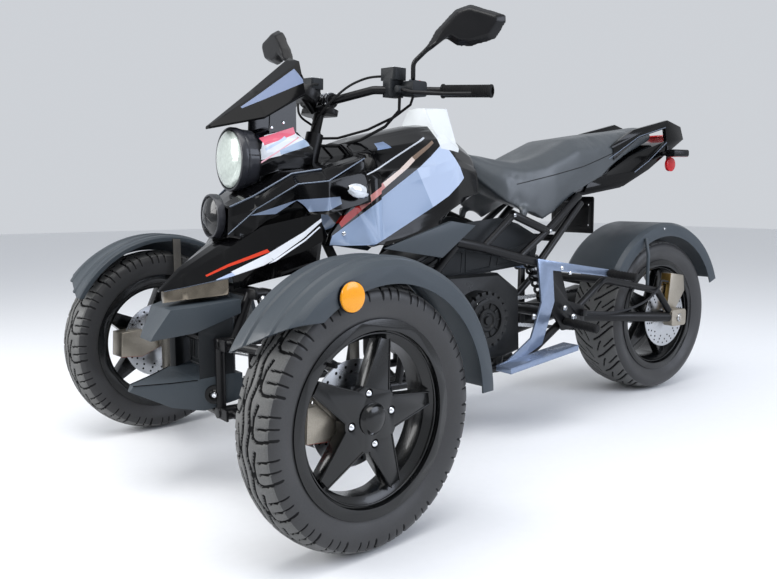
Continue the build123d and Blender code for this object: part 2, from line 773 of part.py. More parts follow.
rear_z = rear_tyre_radius
shock_foot_x = -345
shock_foot_z = 332
shock_pin = frame_tube - 4
with BuildPart() as swingarm:
    for side in (1, -1):
        y = side * swingarm_y
        add(rod((pivot_x, side * pivot_half, pivot_z), (rear_axle_x + 10, y, rear_z), swingarm_tube))
        add(tube([(pivot_x - 20, side * pivot_half, pivot_z + 6), (-430, y, 452), (-730, y, 392), (rear_axle_x + 20, y, rear_z + 8)], 12, 40))
        with BuildSketch(Plane.XZ.offset(-side * (swingarm_y - 19))):
            with Locations((rear_axle_x, rear_z)):
                RectangleRounded(84, 60, 12)
        extrude(amount=-side * 38)
    add(rod((rear_axle_x, rear_disc_y + disc_wall + 1, rear_z), (rear_axle_x, swingarm_y, rear_z), 18))
    add(rod((rear_axle_x, chain_y - sprocket_wall / 2 - 1, rear_z), (rear_axle_x, -swingarm_y, rear_z), 18))
    add(rod((pivot_x, -pivot_half, pivot_z), (pivot_x, pivot_half, pivot_z), 16))
    add(rod((-500, -swingarm_y, 440), (-500, swingarm_y, 440), 14))
    add(rod((shock_foot_x, -swingarm_y + 8, shock_foot_z), (shock_foot_x, swingarm_y - 8, shock_foot_z), shock_pin))
    add(rod((rear_axle_x, -swingarm_y - 30, rear_z), (rear_axle_x, swingarm_y + 30, rear_z), axle_radius))
save(swingarm.part, "swingarm")

link_count = 117
chain_waist = 5
chain_width = 12
front_pin = Vector(sprocket_x, sprocket_z)
rear_pin = Vector(rear_axle_x, rear_z)
reach = (front_pin - rear_pin).length
along = (front_pin - rear_pin) / reach
across = Vector(-along.Y, along.X)
lean = asin((sprocket_radius - sprocket_front) / reach)
run = reach * cos(lean)
front_arc = sprocket_front * (pi - 2 * lean)
rear_arc = sprocket_radius * (pi + 2 * lean)
loop = 2 * run + front_arc + rear_arc


def outward(turn):
    # unit vector in the chain's plane, turned back from the line of the two sprockets
    return along * cos(turn) + across * sin(turn)


def chain_point(length):
    # pin centre and outward normal, starting where the upper run leaves the rear sprocket
    top = pi / 2 - lean
    if length < run:
        return rear_pin + outward(top) * sprocket_radius + outward(top - pi / 2) * length, outward(top)
    length -= run
    if length < front_arc:
        normal = outward(top - length / sprocket_front)
        return front_pin + normal * sprocket_front, normal
    length -= front_arc
    if length < run:
        return front_pin + outward(-top) * sprocket_front + outward(-top - pi / 2) * length, outward(-top)
    normal = outward(-top - (length - run) / sprocket_radius)
    return rear_pin + normal * sprocket_radius, normal


outer_edge, inner_edge = [], []
for k in range(2 * link_count):
    pin, normal = chain_point(loop * k / (2 * link_count))
    half = chain_waist if k % 2 else chain_half
    outer_edge.append((pin + normal * half).to_tuple()[:2])
    inner_edge.append((pin - normal * half).to_tuple()[:2])
with BuildPart() as chain:
    with BuildSketch(Plane.XZ.offset(-chain_y - chain_width / 2)):
        with BuildLine():
            Polyline(*outer_edge, close=True)
        make_face()
        with BuildLine():
            Polyline(*inner_edge, close=True)
        make_face(mode=Mode.SUBTRACT)
    extrude(amount=chain_width)
save(chain.part, "chain")

with BuildPart() as rear_shock:
    low, high = Vector(shock_foot_x, 0, shock_foot_z), Vector(shock_top_x, 0, shock_top_z)
    add(rod(low, high, 10))
    add(rod(low + (high - low) * 0.16, low + (high - low) * 0.84, 30))
    for end in (low, high):
        add(rod((end.X, -20, end.Z), (end.X, 20, end.Z), 17))
    for end in (low, high):
        add(rod((end.X, -22, end.Z), (end.X, 22, end.Z), shock_pin + fit), mode=Mode.SUBTRACT)
save(rear_shock.part, "rear_shock")

caliper_x = rear_axle_x - 42
with BuildPart() as rear_caliper:
    with BuildSketch(Plane.XZ.offset(-(rear_disc_y - 16))):
        with BuildLine():
            Polyline(
                (caliper_x - 44, rear_z + 92), (caliper_x - 34, rear_z + 150), (caliper_x + 42, rear_z + 162),
                (caliper_x + 50, rear_z + 96), (rear_axle_x + 22, rear_z + 22), (rear_axle_x - 30, rear_z + 22), close=True,
            )
        make_face()
    extrude(amount=-(swingarm_y - 19 - fit - rear_disc_y + 16))
    with BuildSketch(Plane.XZ.offset(-(rear_disc_y - caliper_gap))):
        with Locations((rear_axle_x, rear_z)):
            Circle(disc_radius + caliper_gap)
    extrude(amount=-(disc_wall + 2 * caliper_gap), mode=Mode.SUBTRACT)
    with BuildSketch(Plane.XZ.offset(-(rear_disc_y - 20))):
        with Locations((rear_axle_x, rear_z)):
            Circle(88)
    extrude(amount=-(20 + disc_wall + 5), mode=Mode.SUBTRACT)
save(rear_caliper.part, "rear_caliper")

hose_radius = 4
with BuildPart() as brake_hose:
    add(cord([
        (-838, 126, 415), (-788, 130, 424), (-724, 173, 406), (-640, 184, 366), (-540, 186, 344), (-440, 184, 338),
        (-360, 183, 348), (-312 - fit, 180, 352),
    ], hose_radius))
    add(rear_caliper.part, mode=Mode.SUBTRACT)
save(brake_hose.part, "brake_hose")

# Side brackets with foot boards, pegs

plate_y = 175.3
with BuildPart() as side_brackets:
    for side in (1, -1):
        with BuildSketch(Plane.XZ.offset(-side * plate_y)):
            with BuildLine():
                Polyline((-84, 540), (-436, 486), (-436, 462), (-150, 500), close=True)
            make_face()
            with BuildLine():
                Polyline(
                    (-84, 540), (-150, 520), (-162, 400), (-110, 268), (40, 206), (80, 206), (80, 224), (40, 232),
                    (-60, 292), (-104, 400), close=True,
                )
            make_face()
        extrude(amount=-side * 7)
        with BuildSketch(Plane.XZ.offset(-side * plate_y)):
            with BuildLine():
                Polyline((82, 206), (-216, 244), (-216, 262), (82, 224), close=True)
            make_face()
        extrude(amount=-side * 64)
    add(frame_sides.part, mode=Mode.SUBTRACT)
save(side_brackets.part, "side_brackets")

with BuildPart() as foot_pegs:
    for side in (1, -1):
        add(rod((-222, side * 176, 330), (-238, side * 296, 318), 13))
        add(rod((-420, side * 184, 476), (-452, side * 276, 466), 12))
    add(side_brackets.part, mode=Mode.SUBTRACT)
    add(frame_sides.part, mode=Mode.SUBTRACT)
save(foot_pegs.part, "foot_pegs")

# Bodywork

with BuildPart() as bumper_mask:
    with BuildSketch(Plane.XZ):
        with BuildLine():
            Polyline((1098, 386), (1092, 400), (1056, 462), (900, 484), (900, 450), (1005, 407), close=True)
        make_face()
        with BuildLine():
            Polyline((1144, 262), (1136, 276), (1060, 282), (930, 300), (900, 300), (900, 236), (990, 212), (1060, 222), close=True)
        make_face()
    extrude(amount=160, both=True)
    with BuildSketch(Plane.XY.offset(200)):
        with BuildLine():
            Polyline((1146, 5), (1010, 96), (900, 126), (880, 126), (880, -126), (900, -126), (1010, -96), (1146, -5), close=True)
        make_face()
    extrude(amount=300, mode=Mode.INTERSECT)
    with BuildSketch(Plane.XY.offset(290)):
        for side in (1, -1):
            with BuildLine():
                Polyline((1000, side * 96), (920, side * 120), (910, side * 108), (990, side * 84), close=True)
            make_face()
    extrude(amount=150)
    add(front_frame.part, mode=Mode.SUBTRACT)
save(bumper_mask.part, "bumper_mask")

bright_strip = body_loft([
    (1050, [(0, 502), (10, 502.6), (10, 474), (0, 472)]),
    (1008, [(0, 508.7), (40, 513), (42, 482), (0, 478)]),
    (918, [(0, 529.5), (96, 534.2), (98, 494), (0, 488)]),
])
save(bright_strip, "bright_strip")

beak_shell = body_loft([
    (1061, [(0, 506), (5, 505), (8, 504), (8, 502), (0, 500.5)]),
    (1008, [(0, 558), (14, 552), (26, 540), (44, 514), (0, 509)]),
    (913, [(0, 618), (40, 614), (66, 600), (102, 538), (0, 531)]),
    (840, [(0, 644), (90, 650), (134, 662), (168, 572), (0, 545)]),
    (770, [(0, 655), (140, 662), (204, 684), (228, 604), (0, 560)]),
    (728, [(0, 655), (160, 672), (226, 694), (236, 626), (0, 575)]),
])
with BuildPart() as beak:
    add(beak_shell)
    for y in (60, -60):
        add(rod((front_axle_x, y, tower_z), (front_axle_x, y, 560), 10))
    add(front_frame.part, mode=Mode.SUBTRACT)
save(beak.part, "beak")

head_x = 864
head_z = 829
with BuildPart() as headlight:
    with BuildSketch(Plane.YZ.offset(head_x)):
        with Locations((0, head_z)):
            Circle(82)
    extrude(amount=-18)
    with BuildSketch(Plane.YZ.offset(head_x - 18)):
        with Locations((0, head_z)):
            Circle(78)
    extrude(amount=-36)
    with BuildSketch(Plane.YZ.offset(head_x - 54)):
        with Locations((0, head_z)):
            Circle(78)
    with BuildSketch(Plane.YZ.offset(head_x - 78)):
        with Locations((0, head_z)):
            Circle(52)
    loft()
    with BuildSketch(Plane.YZ.offset(head_x)):
        with Locations((0, head_z)):
            Circle(73)
    with BuildSketch(Plane.YZ.offset(head_x + 14)):
        with Locations((0, head_z)):
            Circle(40)
    loft()
save(headlight.part, "headlight")

# fly screen rows: x, then its outer face from the middle to the left edge
screen_rows = [
    (920, [(0, 912), (8, 911), (12, 908)]),
    (800, [(0, 1006), (40, 996), (78, 934)]),
    (684, [(0, 1100), (54, 1084), (84, 1000)]),
]
fairing_stations = [
    (902, [(0, 716), (40, 716), (76, 708), (64, 640), (54, 622), (0, 620)]),
    (850, [(0, 748), (58, 746), (104, 734), (120, 702), (106, 622), (0, 622)]),
    (765, [(0, 800), (80, 800), (150, 790), (182, 764), (160, 670), (0, 650)]),
    (690, [(0, 806), (100, 808), (168, 802), (204, 772), (202, 690), (0, 650)]),
    (561, [(0, 842), (80, 846), (136, 842), (172, 832), (204, 720), (0, 700)]),
]
shell = 4
with BuildPart() as upper_fairing:
    add(body_loft(fairing_stations))
    add(body_loft([
        (x, [(max(y - shell * (y > 0), 0), z - shell if k < 4 else z - 60) for k, (y, z) in enumerate(outline)])
        for x, outline in fairing_stations
    ]), mode=Mode.SUBTRACT)
    add(rod((on_stem(700), 0, 700), (on_stem(900), 0, 900), head_radius + fit), mode=Mode.SUBTRACT)
    add(headlight.part, mode=Mode.SUBTRACT)
    add(beak.part, mode=Mode.SUBTRACT)
save(upper_fairing.part, "upper_fairing")

with BuildPart() as screen_stays:
    for y in (56, -62):
        with BuildSketch(Plane.XZ.offset(-y)):
            with BuildLine():
                Polyline((780, 880), (700, 880), (700, 1060), (770, 1020), close=True)
            make_face()
        extrude(amount=-6)
    add(body_loft([
        (x, [(max(y - 2, 0), z - 5 - fit) for y, z in outer] + [(outer[-1][0] - 2, 760), (0, 760)])
        for x, outer in screen_rows
    ]), mode=Mode.INTERSECT)

with BuildPart() as cowl:
    add(body_loft([
        (812, [(0, 900), (50, 892), (79, 866), (80, 812), (66, 771), (0, 771.6)]),
        (765, [(0, 915), (52, 908), (82, 882), (84, 838), (78, 800.3), (0, 800.3)]),
        (690, [(0, 908), (50, 902), (78, 884), (80, 850), (76, 807.9), (0, 806.3)]),
        (655, [(0, 884), (50, 876), (70, 861), (72, 848), (66, 817.6), (0, 816.2)]),
    ]))
    add(screen_stays.part)
    add(headlight.part, mode=Mode.SUBTRACT)
    add(frame_spine.part, mode=Mode.SUBTRACT)
save(cowl.part, "headlight_cowl")

tank_shell = body_loft([
    (558, [(0, 882), (60, 874), (110, 850), (160, 800), (192, 612), (0, 765)]),
    (508, [(0, 898), (60, 890), (125, 860), (172, 800), (194, 604), (0, 720)]),
    (316, [(0, 938), (60, 930), (118, 892), (160, 820), (178, 650), (0, 700)]),
    (215, [(0, 950), (58, 942), (108, 888), (144, 820), (156, 712), (0, 712)]),
    (100, [(0, 880), (44, 872), (72, 850), (100, 800), (110, 740), (0, 740)]),
])
tank_collar = body_loft([
    (256, [(0, 994), (40, 990), (98, 908), (114, 868), (80, 868), (0, 930)]),
    (166, [(0, 999), (34, 994), (74, 900), (90, 862), (60, 860), (0, 915)]),
])
with BuildPart() as tank_body:
    add(tank_shell)
    add(tank_collar)
    for side in (1, -1):
        with BuildSketch(Plane.XZ.offset(-side * 176)):
            with BuildLine():
                Polyline((686, 610), (677, 640), (556, 778), (520, 780), (520, 606), close=True)
            make_face()
        extrude(amount=-side * 16)
    add(upper_fairing.part, mode=Mode.SUBTRACT)
tank = tank_body.part
save(tank, "tank")

seat_shell = body_loft([
    (97, [(0, 880), (36, 872), (46, 850), (46, 812), (0, 790)]),
    (0, [(0, 850), (60, 846), (104, 826), (128, 714), (0, 745)]),
    (-77, [(0, 832), (90, 834), (132, 812), (143, 682), (0, 716)]),
    (-141, [(0, 846), (96, 848), (142, 822), (150, 654), (0, 726)]),
    (-190, [(0, 866), (100, 866), (148, 836), (151, 682), (0, 740)]),
    (-313, [(0, 920), (96, 916), (144, 880), (148, 752), (0, 756)]),
    (-434, [(0, 938), (92, 932), (134, 898), (136, 796), (0, 790)]),
    (-605, [(0, 958), (84, 952), (108, 926), (108, 880), (0, 874)]),
    (-790, [(0, 985), (50, 980), (66, 960), (62, 936), (0, 930)]),
])
with BuildPart() as seat_body:
    add(seat_shell)
    with Locations((-290, 0, 745)):
        Box(30, 120, 40)
    with Locations((-56, 143, 676), (-56, -143, 676)):
        Box(30, 14, 34)
    add(frame_sides.part, mode=Mode.SUBTRACT)
    add(frame_cradle.part, mode=Mode.SUBTRACT)
seat = seat_body.part
save(seat, "seat")

tail_outline = [(-360, 746), (-560, 766), (-700, 826), (-900, 940), (-880, 984), (-800, 1004), (-612, 962), (-440, 876)]
with BuildPart() as tail:
    with BuildSketch(Plane.XZ.offset(-110)):
        with BuildLine():
            Polyline(*tail_outline, close=True)
        make_face()
        with BuildLine():
            Polyline((-470, 800), (-620, 818), (-800, 930), (-790, 974), (-640, 936), (-500, 850), close=True)
        make_face(mode=Mode.SUBTRACT)
    extrude(amount=-14)
    with BuildSketch(Plane.XZ.offset(124)):
        with BuildLine():
            Polyline(*tail_outline, close=True)
        make_face()
        with BuildLine():
            Polyline((-470, 800), (-620, 818), (-800, 930), (-790, 974), (-640, 936), (-500, 850), close=True)
        make_face(mode=Mode.SUBTRACT)
    extrude(amount=-14)
    with BuildSketch(Plane.XZ.offset(-112)):
        with BuildLine():
            Polyline((-330, 730), (-560, 762), (-700, 822), (-880, 926), (-890, 960), (-795, 926), (-606, 870), (-436, 786), (-330, 750), close=True)
        make_face()
    extrude(amount=224)
    add(seat, mode=Mode.SUBTRACT)
save(tail.part, "tail")

with BuildPart() as rear_lamps:
    with BuildSketch(Plane(origin=(-872, 0, 942), x_dir=(0, 1, 0), z_dir=(-1, 0, 0))):
        RectangleRounded(120, 34, 10)
    extrude(amount=34)
    for side in (1, -1):
        add(rod((-780, side * 124, 884), (-810, side * 178, 884), 8))
        with BuildSketch(Plane(origin=(-800, side * 170, 884), z_dir=(-1, side * 0.2, 0))):
            RectangleRounded(44, 26, 9)
        extrude(amount=34, both=True)
        with Locations((-812, side * 126.3, 872)):
            Box(26, 4, 84)
        with BuildSketch(Plane(origin=(-812, side * 128.3, 846), z_dir=(0, side, 0))):
            Circle(25)
        extrude(amount=10)
    add(tail.part, mode=Mode.SUBTRACT)
save(rear_lamps.part, "rear_lamps")

with BuildPart() as plate_bracket:
    with BuildSketch(Plane.YZ.offset(-446)):
        with Locations((0, 668)):
            RectangleRounded(190, 126, 8)
        with Locations((0, 668)):
            with GridLocations(146, 70, 2, 2):
                Circle(3.5, mode=Mode.SUBTRACT)
    extrude(amount=5)
    with BuildSketch(Plane.YZ.offset(-441)):
        with Locations((0, 716)):
            Rectangle(60, 22)
    extrude(amount=40)
    with BuildSketch(Plane.XY.offset(705)):
        with Locations((-421, 0)):
            Rectangle(40, 60)
    extrude(amount=60)
    add(tail.part, mode=Mode.SUBTRACT)
save(plate_bracket.part, "plate_bracket")

hugger_radius = 348
hugger_half = 120
hugger_skirt = 50
hugger_front = 33
hugger_sweep = 126
hugger_profile = [
    (-hugger_half, hugger_skirt), (-hugger_half, 10), (16 - hugger_half, 0), (hugger_half - 16, 0),
    (hugger_half, 10), (hugger_half, hugger_skirt), (hugger_half - 4, hugger_skirt), (hugger_half - 4, 12),
    (hugger_half - 18, 4), (18 - hugger_half, 4), (4 - hugger_half, 12), (4 - hugger_half, hugger_skirt),
]
with BuildPart() as rear_fender:
    start = radians(90 - hugger_front)
    centre = (rear_axle_x, 0, rear_z)
    with BuildSketch(Plane(origin=centre, x_dir=(0, 1, 0), z_dir=(cos(start), 0, -sin(start)))):
        with BuildLine():
            Polyline(*[(y, hugger_radius - drop) for y, drop in hugger_profile], close=True)
        make_face()
    revolve(axis=Axis(centre, (0, -1, 0)), revolution_arc=hugger_sweep)
    for side in (1, -1):
        add(tube([(-700, side * 124.5, 580), (-692, side * 142, 520), (-676, side * 153, 398)], 6, 20))
    add(swingarm.part, mode=Mode.SUBTRACT)
save(rear_fender.part, "rear_fender")

with BuildPart() as side_panels:
    for side in (1, -1):
        with BuildSketch(Plane.XZ.offset(-side * 178)):
            with BuildLine():
                Polyline((513, 596), (276, 664), (186, 650), (310, 562), close=True)
            make_face()
        extrude(amount=-side * 14)
    add(tank, mode=Mode.SUBTRACT)
save(side_panels.part, "side_panels")

fly_screen = body_loft([
    (x, outer + [(max(y - 2, 0), z - 5) for y, z in reversed(outer)]) for x, outer in screen_rows
])
save(fly_screen, "fly_screen")

lamp_x = 902
lamp_z = 685
with BuildPart() as lower_lamp:
    with BuildSketch(Plane.YZ.offset(lamp_x + fit)):
        with Locations((0, lamp_z)):
            Circle(57)
    extrude(amount=20)
    with BuildSketch(Plane.YZ.offset(lamp_x + 20)):
        with Locations((0, lamp_z)):
            Circle(50)
    with BuildSketch(Plane.YZ.offset(lamp_x + 30)):
        with Locations((0, lamp_z)):
            Circle(28)
    loft()
save(lower_lamp.part, "lower_lamp")

with BuildPart() as front_indicators:
    for side in (1, -1):
        add(rod((608, side * 194, 742), (626, side * 222, 748), 8))
        with BuildSketch(Plane(origin=(620, side * 232, 748), z_dir=(1, side * 0.25, 0.2))):
            RectangleRounded(30, 40, 10)
        extrude(amount=38, both=True)
    add(upper_fairing.part, mode=Mode.SUBTRACT)
    add(tank, mode=Mode.SUBTRACT)
save(front_indicators.part, "front_indicators")

for piece, label in (
    (handlebar, "handlebar"), (stem, "steering_stem"), (grips, "grips"), (pods, "switch_pods"),
    (levers, "levers"), (mirrors, "mirrors"), (gauge, "gauge"), (bar_cables, "bar_cables"),
):
    save(turned(piece.part), label)

print(len(exported), "nodes")
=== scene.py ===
import bpy
import json
from math import copysign, cos, pi, radians, sin
from mathutils import Matrix, Vector


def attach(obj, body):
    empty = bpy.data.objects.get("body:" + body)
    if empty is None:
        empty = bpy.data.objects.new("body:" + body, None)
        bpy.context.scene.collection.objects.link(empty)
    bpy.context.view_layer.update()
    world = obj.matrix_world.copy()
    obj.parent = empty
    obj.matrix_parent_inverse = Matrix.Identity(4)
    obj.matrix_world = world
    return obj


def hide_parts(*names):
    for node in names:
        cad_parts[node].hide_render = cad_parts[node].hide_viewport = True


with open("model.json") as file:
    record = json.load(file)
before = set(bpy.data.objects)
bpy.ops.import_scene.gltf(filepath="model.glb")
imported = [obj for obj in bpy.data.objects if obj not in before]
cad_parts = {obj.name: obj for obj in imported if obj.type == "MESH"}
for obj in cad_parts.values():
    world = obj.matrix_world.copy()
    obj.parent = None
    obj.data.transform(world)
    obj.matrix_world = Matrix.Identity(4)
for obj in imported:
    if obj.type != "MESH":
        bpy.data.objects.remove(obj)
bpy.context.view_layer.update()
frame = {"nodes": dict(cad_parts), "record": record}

nodes = frame["nodes"]
bodyOf = {node: body for body, names in frame["record"]["behaviour"]["bodies"].items() for node in names}
mm = 0.001

# Camera at the photograph's place

photoCamera = {
    "place": (1.7667, 1.935, 0.7379), "yaw": -126.04, "pitch": -6.6702, "roll": -0.1175, "lens": 37.457,
}
yaw = radians(photoCamera["yaw"])
pitch = radians(photoCamera["pitch"])
roll = radians(photoCamera["roll"])
forward = Vector((cos(pitch) * cos(yaw), cos(pitch) * sin(yaw), sin(pitch)))
right = forward.cross(Vector((0, 0, 1))).normalized()
up = right.cross(forward)
rightRolled = right * cos(roll) + up * sin(roll)
upRolled = up * cos(roll) - right * sin(roll)
bpy.ops.object.camera_add()
camera = bpy.context.object
turn = Matrix((rightRolled, upRolled, -forward)).transposed().to_4x4()
camera.matrix_world = Matrix.Translation(photoCamera["place"]) @ turn
camera.data.lens = photoCamera["lens"]
camera.data.sensor_width = 36
camera.data.sensor_fit = "HORIZONTAL"
camera.data.clip_end = 60
bpy.context.scene.camera = camera
bpy.context.scene.view_settings.view_transform = "Standard"

# Materials


def toLinear(hexText):
    # the sRGB curve undone, for a colour of six hexadecimal digits
    values = [int(hexText[i:i + 2], 16) / 255 for i in (0, 2, 4)]
    return [v / 12.92 if v <= 0.04045 else ((v + 0.055) / 1.055) ** 2.4 for v in values] + [1]


def addNode(tree, kind, inputs=None, **settings):
    node = tree.nodes.new("ShaderNode" + kind)
    for key, value in settings.items():
        setattr(node, key, value)
    for key, value in (inputs or {}).items():
        if isinstance(value, bpy.types.NodeSocket):
            tree.links.new(value, node.inputs[key])
        else:
            node.inputs[key].default_value = value
    return node


def insidePatch(tree, position, corners):
    # corners of a convex outline in the side view, (x, z) in mm, anticlockwise seen with x to the right
    mask = None
    for (x0, z0), (x1, z1) in zip(corners, corners[1:] + corners[:1]):
        normal = (-(z1 - z0) * mm, 0, (x1 - x0) * mm)
        reach = normal[0] * x0 * mm + normal[2] * z0 * mm
        across = addNode(tree, "VectorMath", {0: position, 1: normal}, operation="DOT_PRODUCT")
        side = addNode(tree, "Math", {0: across.outputs["Value"], 1: reach}, operation="GREATER_THAN")
        if mask is None:
            mask = side.outputs[0]
        else:
            both = {0: mask, 1: side.outputs[0]}
            mask = addNode(tree, "Math", both, operation="MULTIPLY").outputs[0]
    return mask


def mixed(tree, factor, first, second):
    # inputs 6 and 7 of the Mix node take colours, and output 2 gives one
    return addNode(tree, "Mix", {0: factor, 6: first, 7: second}, data_type="RGBA").outputs[2]


def surface(name, base, rough, metal=0, coat=0, grain=300, bump=0.1, mottle=0.25, gloss=0.25, patches=()):
    material = bpy.data.materials.new(name)
    material.use_nodes = True
    tree = material.node_tree
    shader = tree.nodes["Principled BSDF"]
    position = addNode(tree, "TexCoord").outputs["Object"]
    fine = addNode(tree, "TexNoise", {"Vector": position, "Scale": grain, "Detail": 5})
    broad = addNode(tree, "TexNoise", {"Vector": position, "Scale": 11, "Detail": 4})
    span = addNode(tree, "MapRange", {
        "Value": broad.outputs["Fac"], "From Min": 0.3, "From Max": 0.7,
        "To Min": rough * (1 - mottle), "To Max": min(rough * (1 + mottle), 1),
    })
    base = toLinear(base)
    # the light specks stay a little above black
    light = [min(v * (1 + mottle) + 0.004 * mottle, 1) for v in base[:3]] + [1]
    dark = [v * (1 - mottle) for v in base[:3]] + [1]
    color = mixed(tree, fine.outputs["Fac"], dark, light)
    for hexText, corners in patches:
        color = mixed(tree, insidePatch(tree, position, corners), color, toLinear(hexText))
    relief = addNode(tree, "Bump", {
        "Height": fine.outputs["Fac"], "Strength": bump, "Distance": 0.0006,
    })
    tree.links.new(color, shader.inputs["Base Color"])
    tree.links.new(span.outputs[0], shader.inputs["Roughness"])
    tree.links.new(relief.outputs[0], shader.inputs["Normal"])
    shader.inputs["Metallic"].default_value = metal
    shader.inputs["Coat Weight"].default_value = coat
    shader.inputs["Coat Roughness"].default_value = 0.05
    shader.inputs["Specular IOR Level"].default_value = gloss
    return material


panelPaint = {"coat": 0.1, "gloss": 0.17, "grain": 60, "bump": 0.02, "mottle": 0.1}
glossBlack = surface("glossyBlackPlastic", "050506", 0.12, **{**panelPaint, "bump": 0.03})
matteGrey = surface("mouldedGreyPlastic", "383f45", 0.42, gloss=0.35, grain=900, bump=0.25)
satinBlack = surface("satinBlackPowderCoat", "0d0d0f", 0.34, grain=1400, bump=0.2)
rimBlack = surface("satinBlackRimPaint", "0a0b0c", 0.22, coat=0.2, gloss=0.35, grain=900)
rubber = surface("roadTyreRubber", "5f5f5e", 0.6, gloss=0.3, grain=420, bump=0.4, mottle=0.4)
sidewallRubber = surface("mouldedSidewallRubber", "333334", 0.45, gloss=0.4, grain=420, bump=0.25)
# near-black for tyre grooves and disc holes: painted shade in those recesses
recessShade = surface("paintedRecessShade", "131314", 0.9, grain=500, bump=0.2)
castAlloy = surface("sandCastAlloy", "a39c90", 0.42, metal=0.9, grain=420, bump=0.5)
groundSteel = surface("groundSteel", "b9bbbe", 0.28, metal=1, grain=700, bump=0.15)
chrome = surface("polishedChrome", "e4e6ea", 0.08, metal=1, grain=200, bump=0.02, mottle=0.1)
enginePaint = surface("blackEnginePaint", "121314", 0.36, grain=800, bump=0.35)
gripRubber = surface("ribbedGripRubber", "111112", 0.75, grain=1200, bump=0.5)
seatLeather = surface("grainedSeatVinyl", "3a3f43", 0.36, gloss=0.6, grain=650, bump=0.6, mottle=0.2)
amberLens = surface("amberReflectorLens", "f29a12", 0.22, coat=0.5, grain=500, bump=0.35)
redLens = surface("redLampLens", "b3121a", 0.2, coat=0.5, grain=400, bump=0.3)
clearLens = surface("frostedClearLens", "d9dee4", 0.12, metal=0.35, coat=0.8, grain=150, bump=0.5)
darkLens = surface("smokedLampLens", "0c0e10", 0.12, coat=0.3, grain=120)
goldCaliper = surface("anodisedCaliper", "a8894e", 0.35, metal=0.9, grain=500, bump=0.2)
redPaint = surface("redCaliperPaint", "9c2a1c", 0.4, grain=400, bump=0.2)
# the strip is mirror bright; its brown tint and strong broad blotching are painted reflection of its
# surroundings
trimReflection = surface("trimStripPaintedReflection", "7a7266", 0.08, metal=1, grain=26, bump=0.05, mottle=0.85)
airBoxPlastic = surface("blackAirBoxPlastic", "191c1f", 0.5, grain=900, bump=0.2)
redSwitch = surface("redSwitchPlastic", "c2281e", 0.35, grain=500)


def band(start, end, widthStart, widthEnd):
    # corners of a straight stripe about a middle line of the side view
    start, end = Vector(start), Vector(end)
    run = (end - start).normalized()
    off = Vector((-run.y, run.x)) / 2
    corners = [start - off * widthStart, end - off * widthEnd, end + off * widthEnd, start + off * widthStart]
    return [tuple(corner) for corner in corners]


# each patch is a colour and its corners in the side view, in mm
tankPaintAndReflections = surface("glossTankPaintAndPaintedReflections", "050506", 0.14, **panelPaint, patches=[
    # the blue-grey patch and its paler inner part are painted reflection of the sky on the tank's flank
    ("8798b2", [(683, 612), (675, 635), (262, 877), (230, 868), (183, 787), (262, 735), (551, 603)]),
    ("aab8d0", [(330, 704), (380, 808), (262, 877), (230, 868), (183, 787), (262, 735)]),
    ("cdd1d3", [(262, 870), (258, 1001), (156, 1004), (152, 884), (180, 862)]),
    ("9c1f19", band((652, 664), (588, 706), 20, 18)),
    ("b07672", band((588, 706), (500, 764), 17, 15)),
    ("cbbcb4", band((500, 764), (380, 838), 14, 11)),
    ("756356", band((380, 838), (285, 889), 11, 8)),
    # a thin pale line along the ridge, a painted highlight
    ("b9bec6", band((550, 790), (310, 900), 3, 4)),
    ("7387a8", [(440, 866), (488, 858), (478, 878), (446, 884)]),
])
beakPaint = surface("glossBeakPaint", "050506", 0.15, **panelPaint, patches=[
    ("a9b8d6", band((938, 520), (885, 548), 26, 22)),
    ("cfd3da", band((905, 542), (837, 587), 20, 17)),
    ("cfd3da", band((837, 587), (720, 684), 17, 5)),
    ("c33a24", band((962, 540), (838, 603), 4, 8)),
    ("d9dde6", band((850, 562), (733, 660), 4, 3)),
])
fairingPaintAndReflection = surface("glossFairingPaintAndPaintedReflection", "050506", 0.14, **panelPaint, patches=[
    # the grey-blue patch on the lower flank facet is painted reflection of the sky
    ("77859c", [(650, 716), (690, 699), (862, 688), (765, 726), (655, 734)]),
])
cowlPaint = surface("stripedCowlPaint", "08080a", 0.14, coat=0.15, grain=60, bump=0.02, mottle=0.1, patches=[
    ("d6d9de", [(826, 800), (808, 868), (793, 889), (717, 909), (700, 896), (655, 861), (759, 838)]),
    ("d4667a", band((806, 872), (706, 905), 20, 18)),
    ("b7c6dc", band((800, 852), (740, 885), 6, 8)),
    ("dba3ad", band((816, 818), (700, 888), 4, 3)),
    ("9db0c8", band((760, 846), (668, 878), 12, 22)),
])
screenPaintAndReflection = surface("glossScreenPlasticAndPaintedReflection", "040405", 0.1, gloss=0.1, grain=60, bump=0.02, mottle=0.1, patches=[
    # the widening grey-blue band is painted reflection of the sky
    ("76829c", band((842, 958), (690, 1046), 4, 40)),
])
lensGlass = surface(
    "flutedHeadlightGlass", "c6cfc8", 0.16, metal=0.3, coat=0.6, grain=120, bump=1.0, mottle=0.3,
)
bucketPaint = surface("satinBucketPaint", "2a2b30", 0.35, coat=0.3, grain=700)
hoseBraid = surface("braidedHoseCover", "232427", 0.6, grain=2600, bump=0.8)
# the pale blue-grey colour over the whole of the side brackets is painted reflection of the sky on their gloss
# black finish
bracketSkyReflection = surface(
    "bracketPaintedReflection", "8290a8", 0.24, metal=0.6, coat=0.3, grain=80, bump=0.05, mottle=0.15,
)
smokedAlloy = surface("weatheredAlloy", "6d6a64", 0.5, metal=0.8, grain=420, bump=0.4, mottle=0.4)

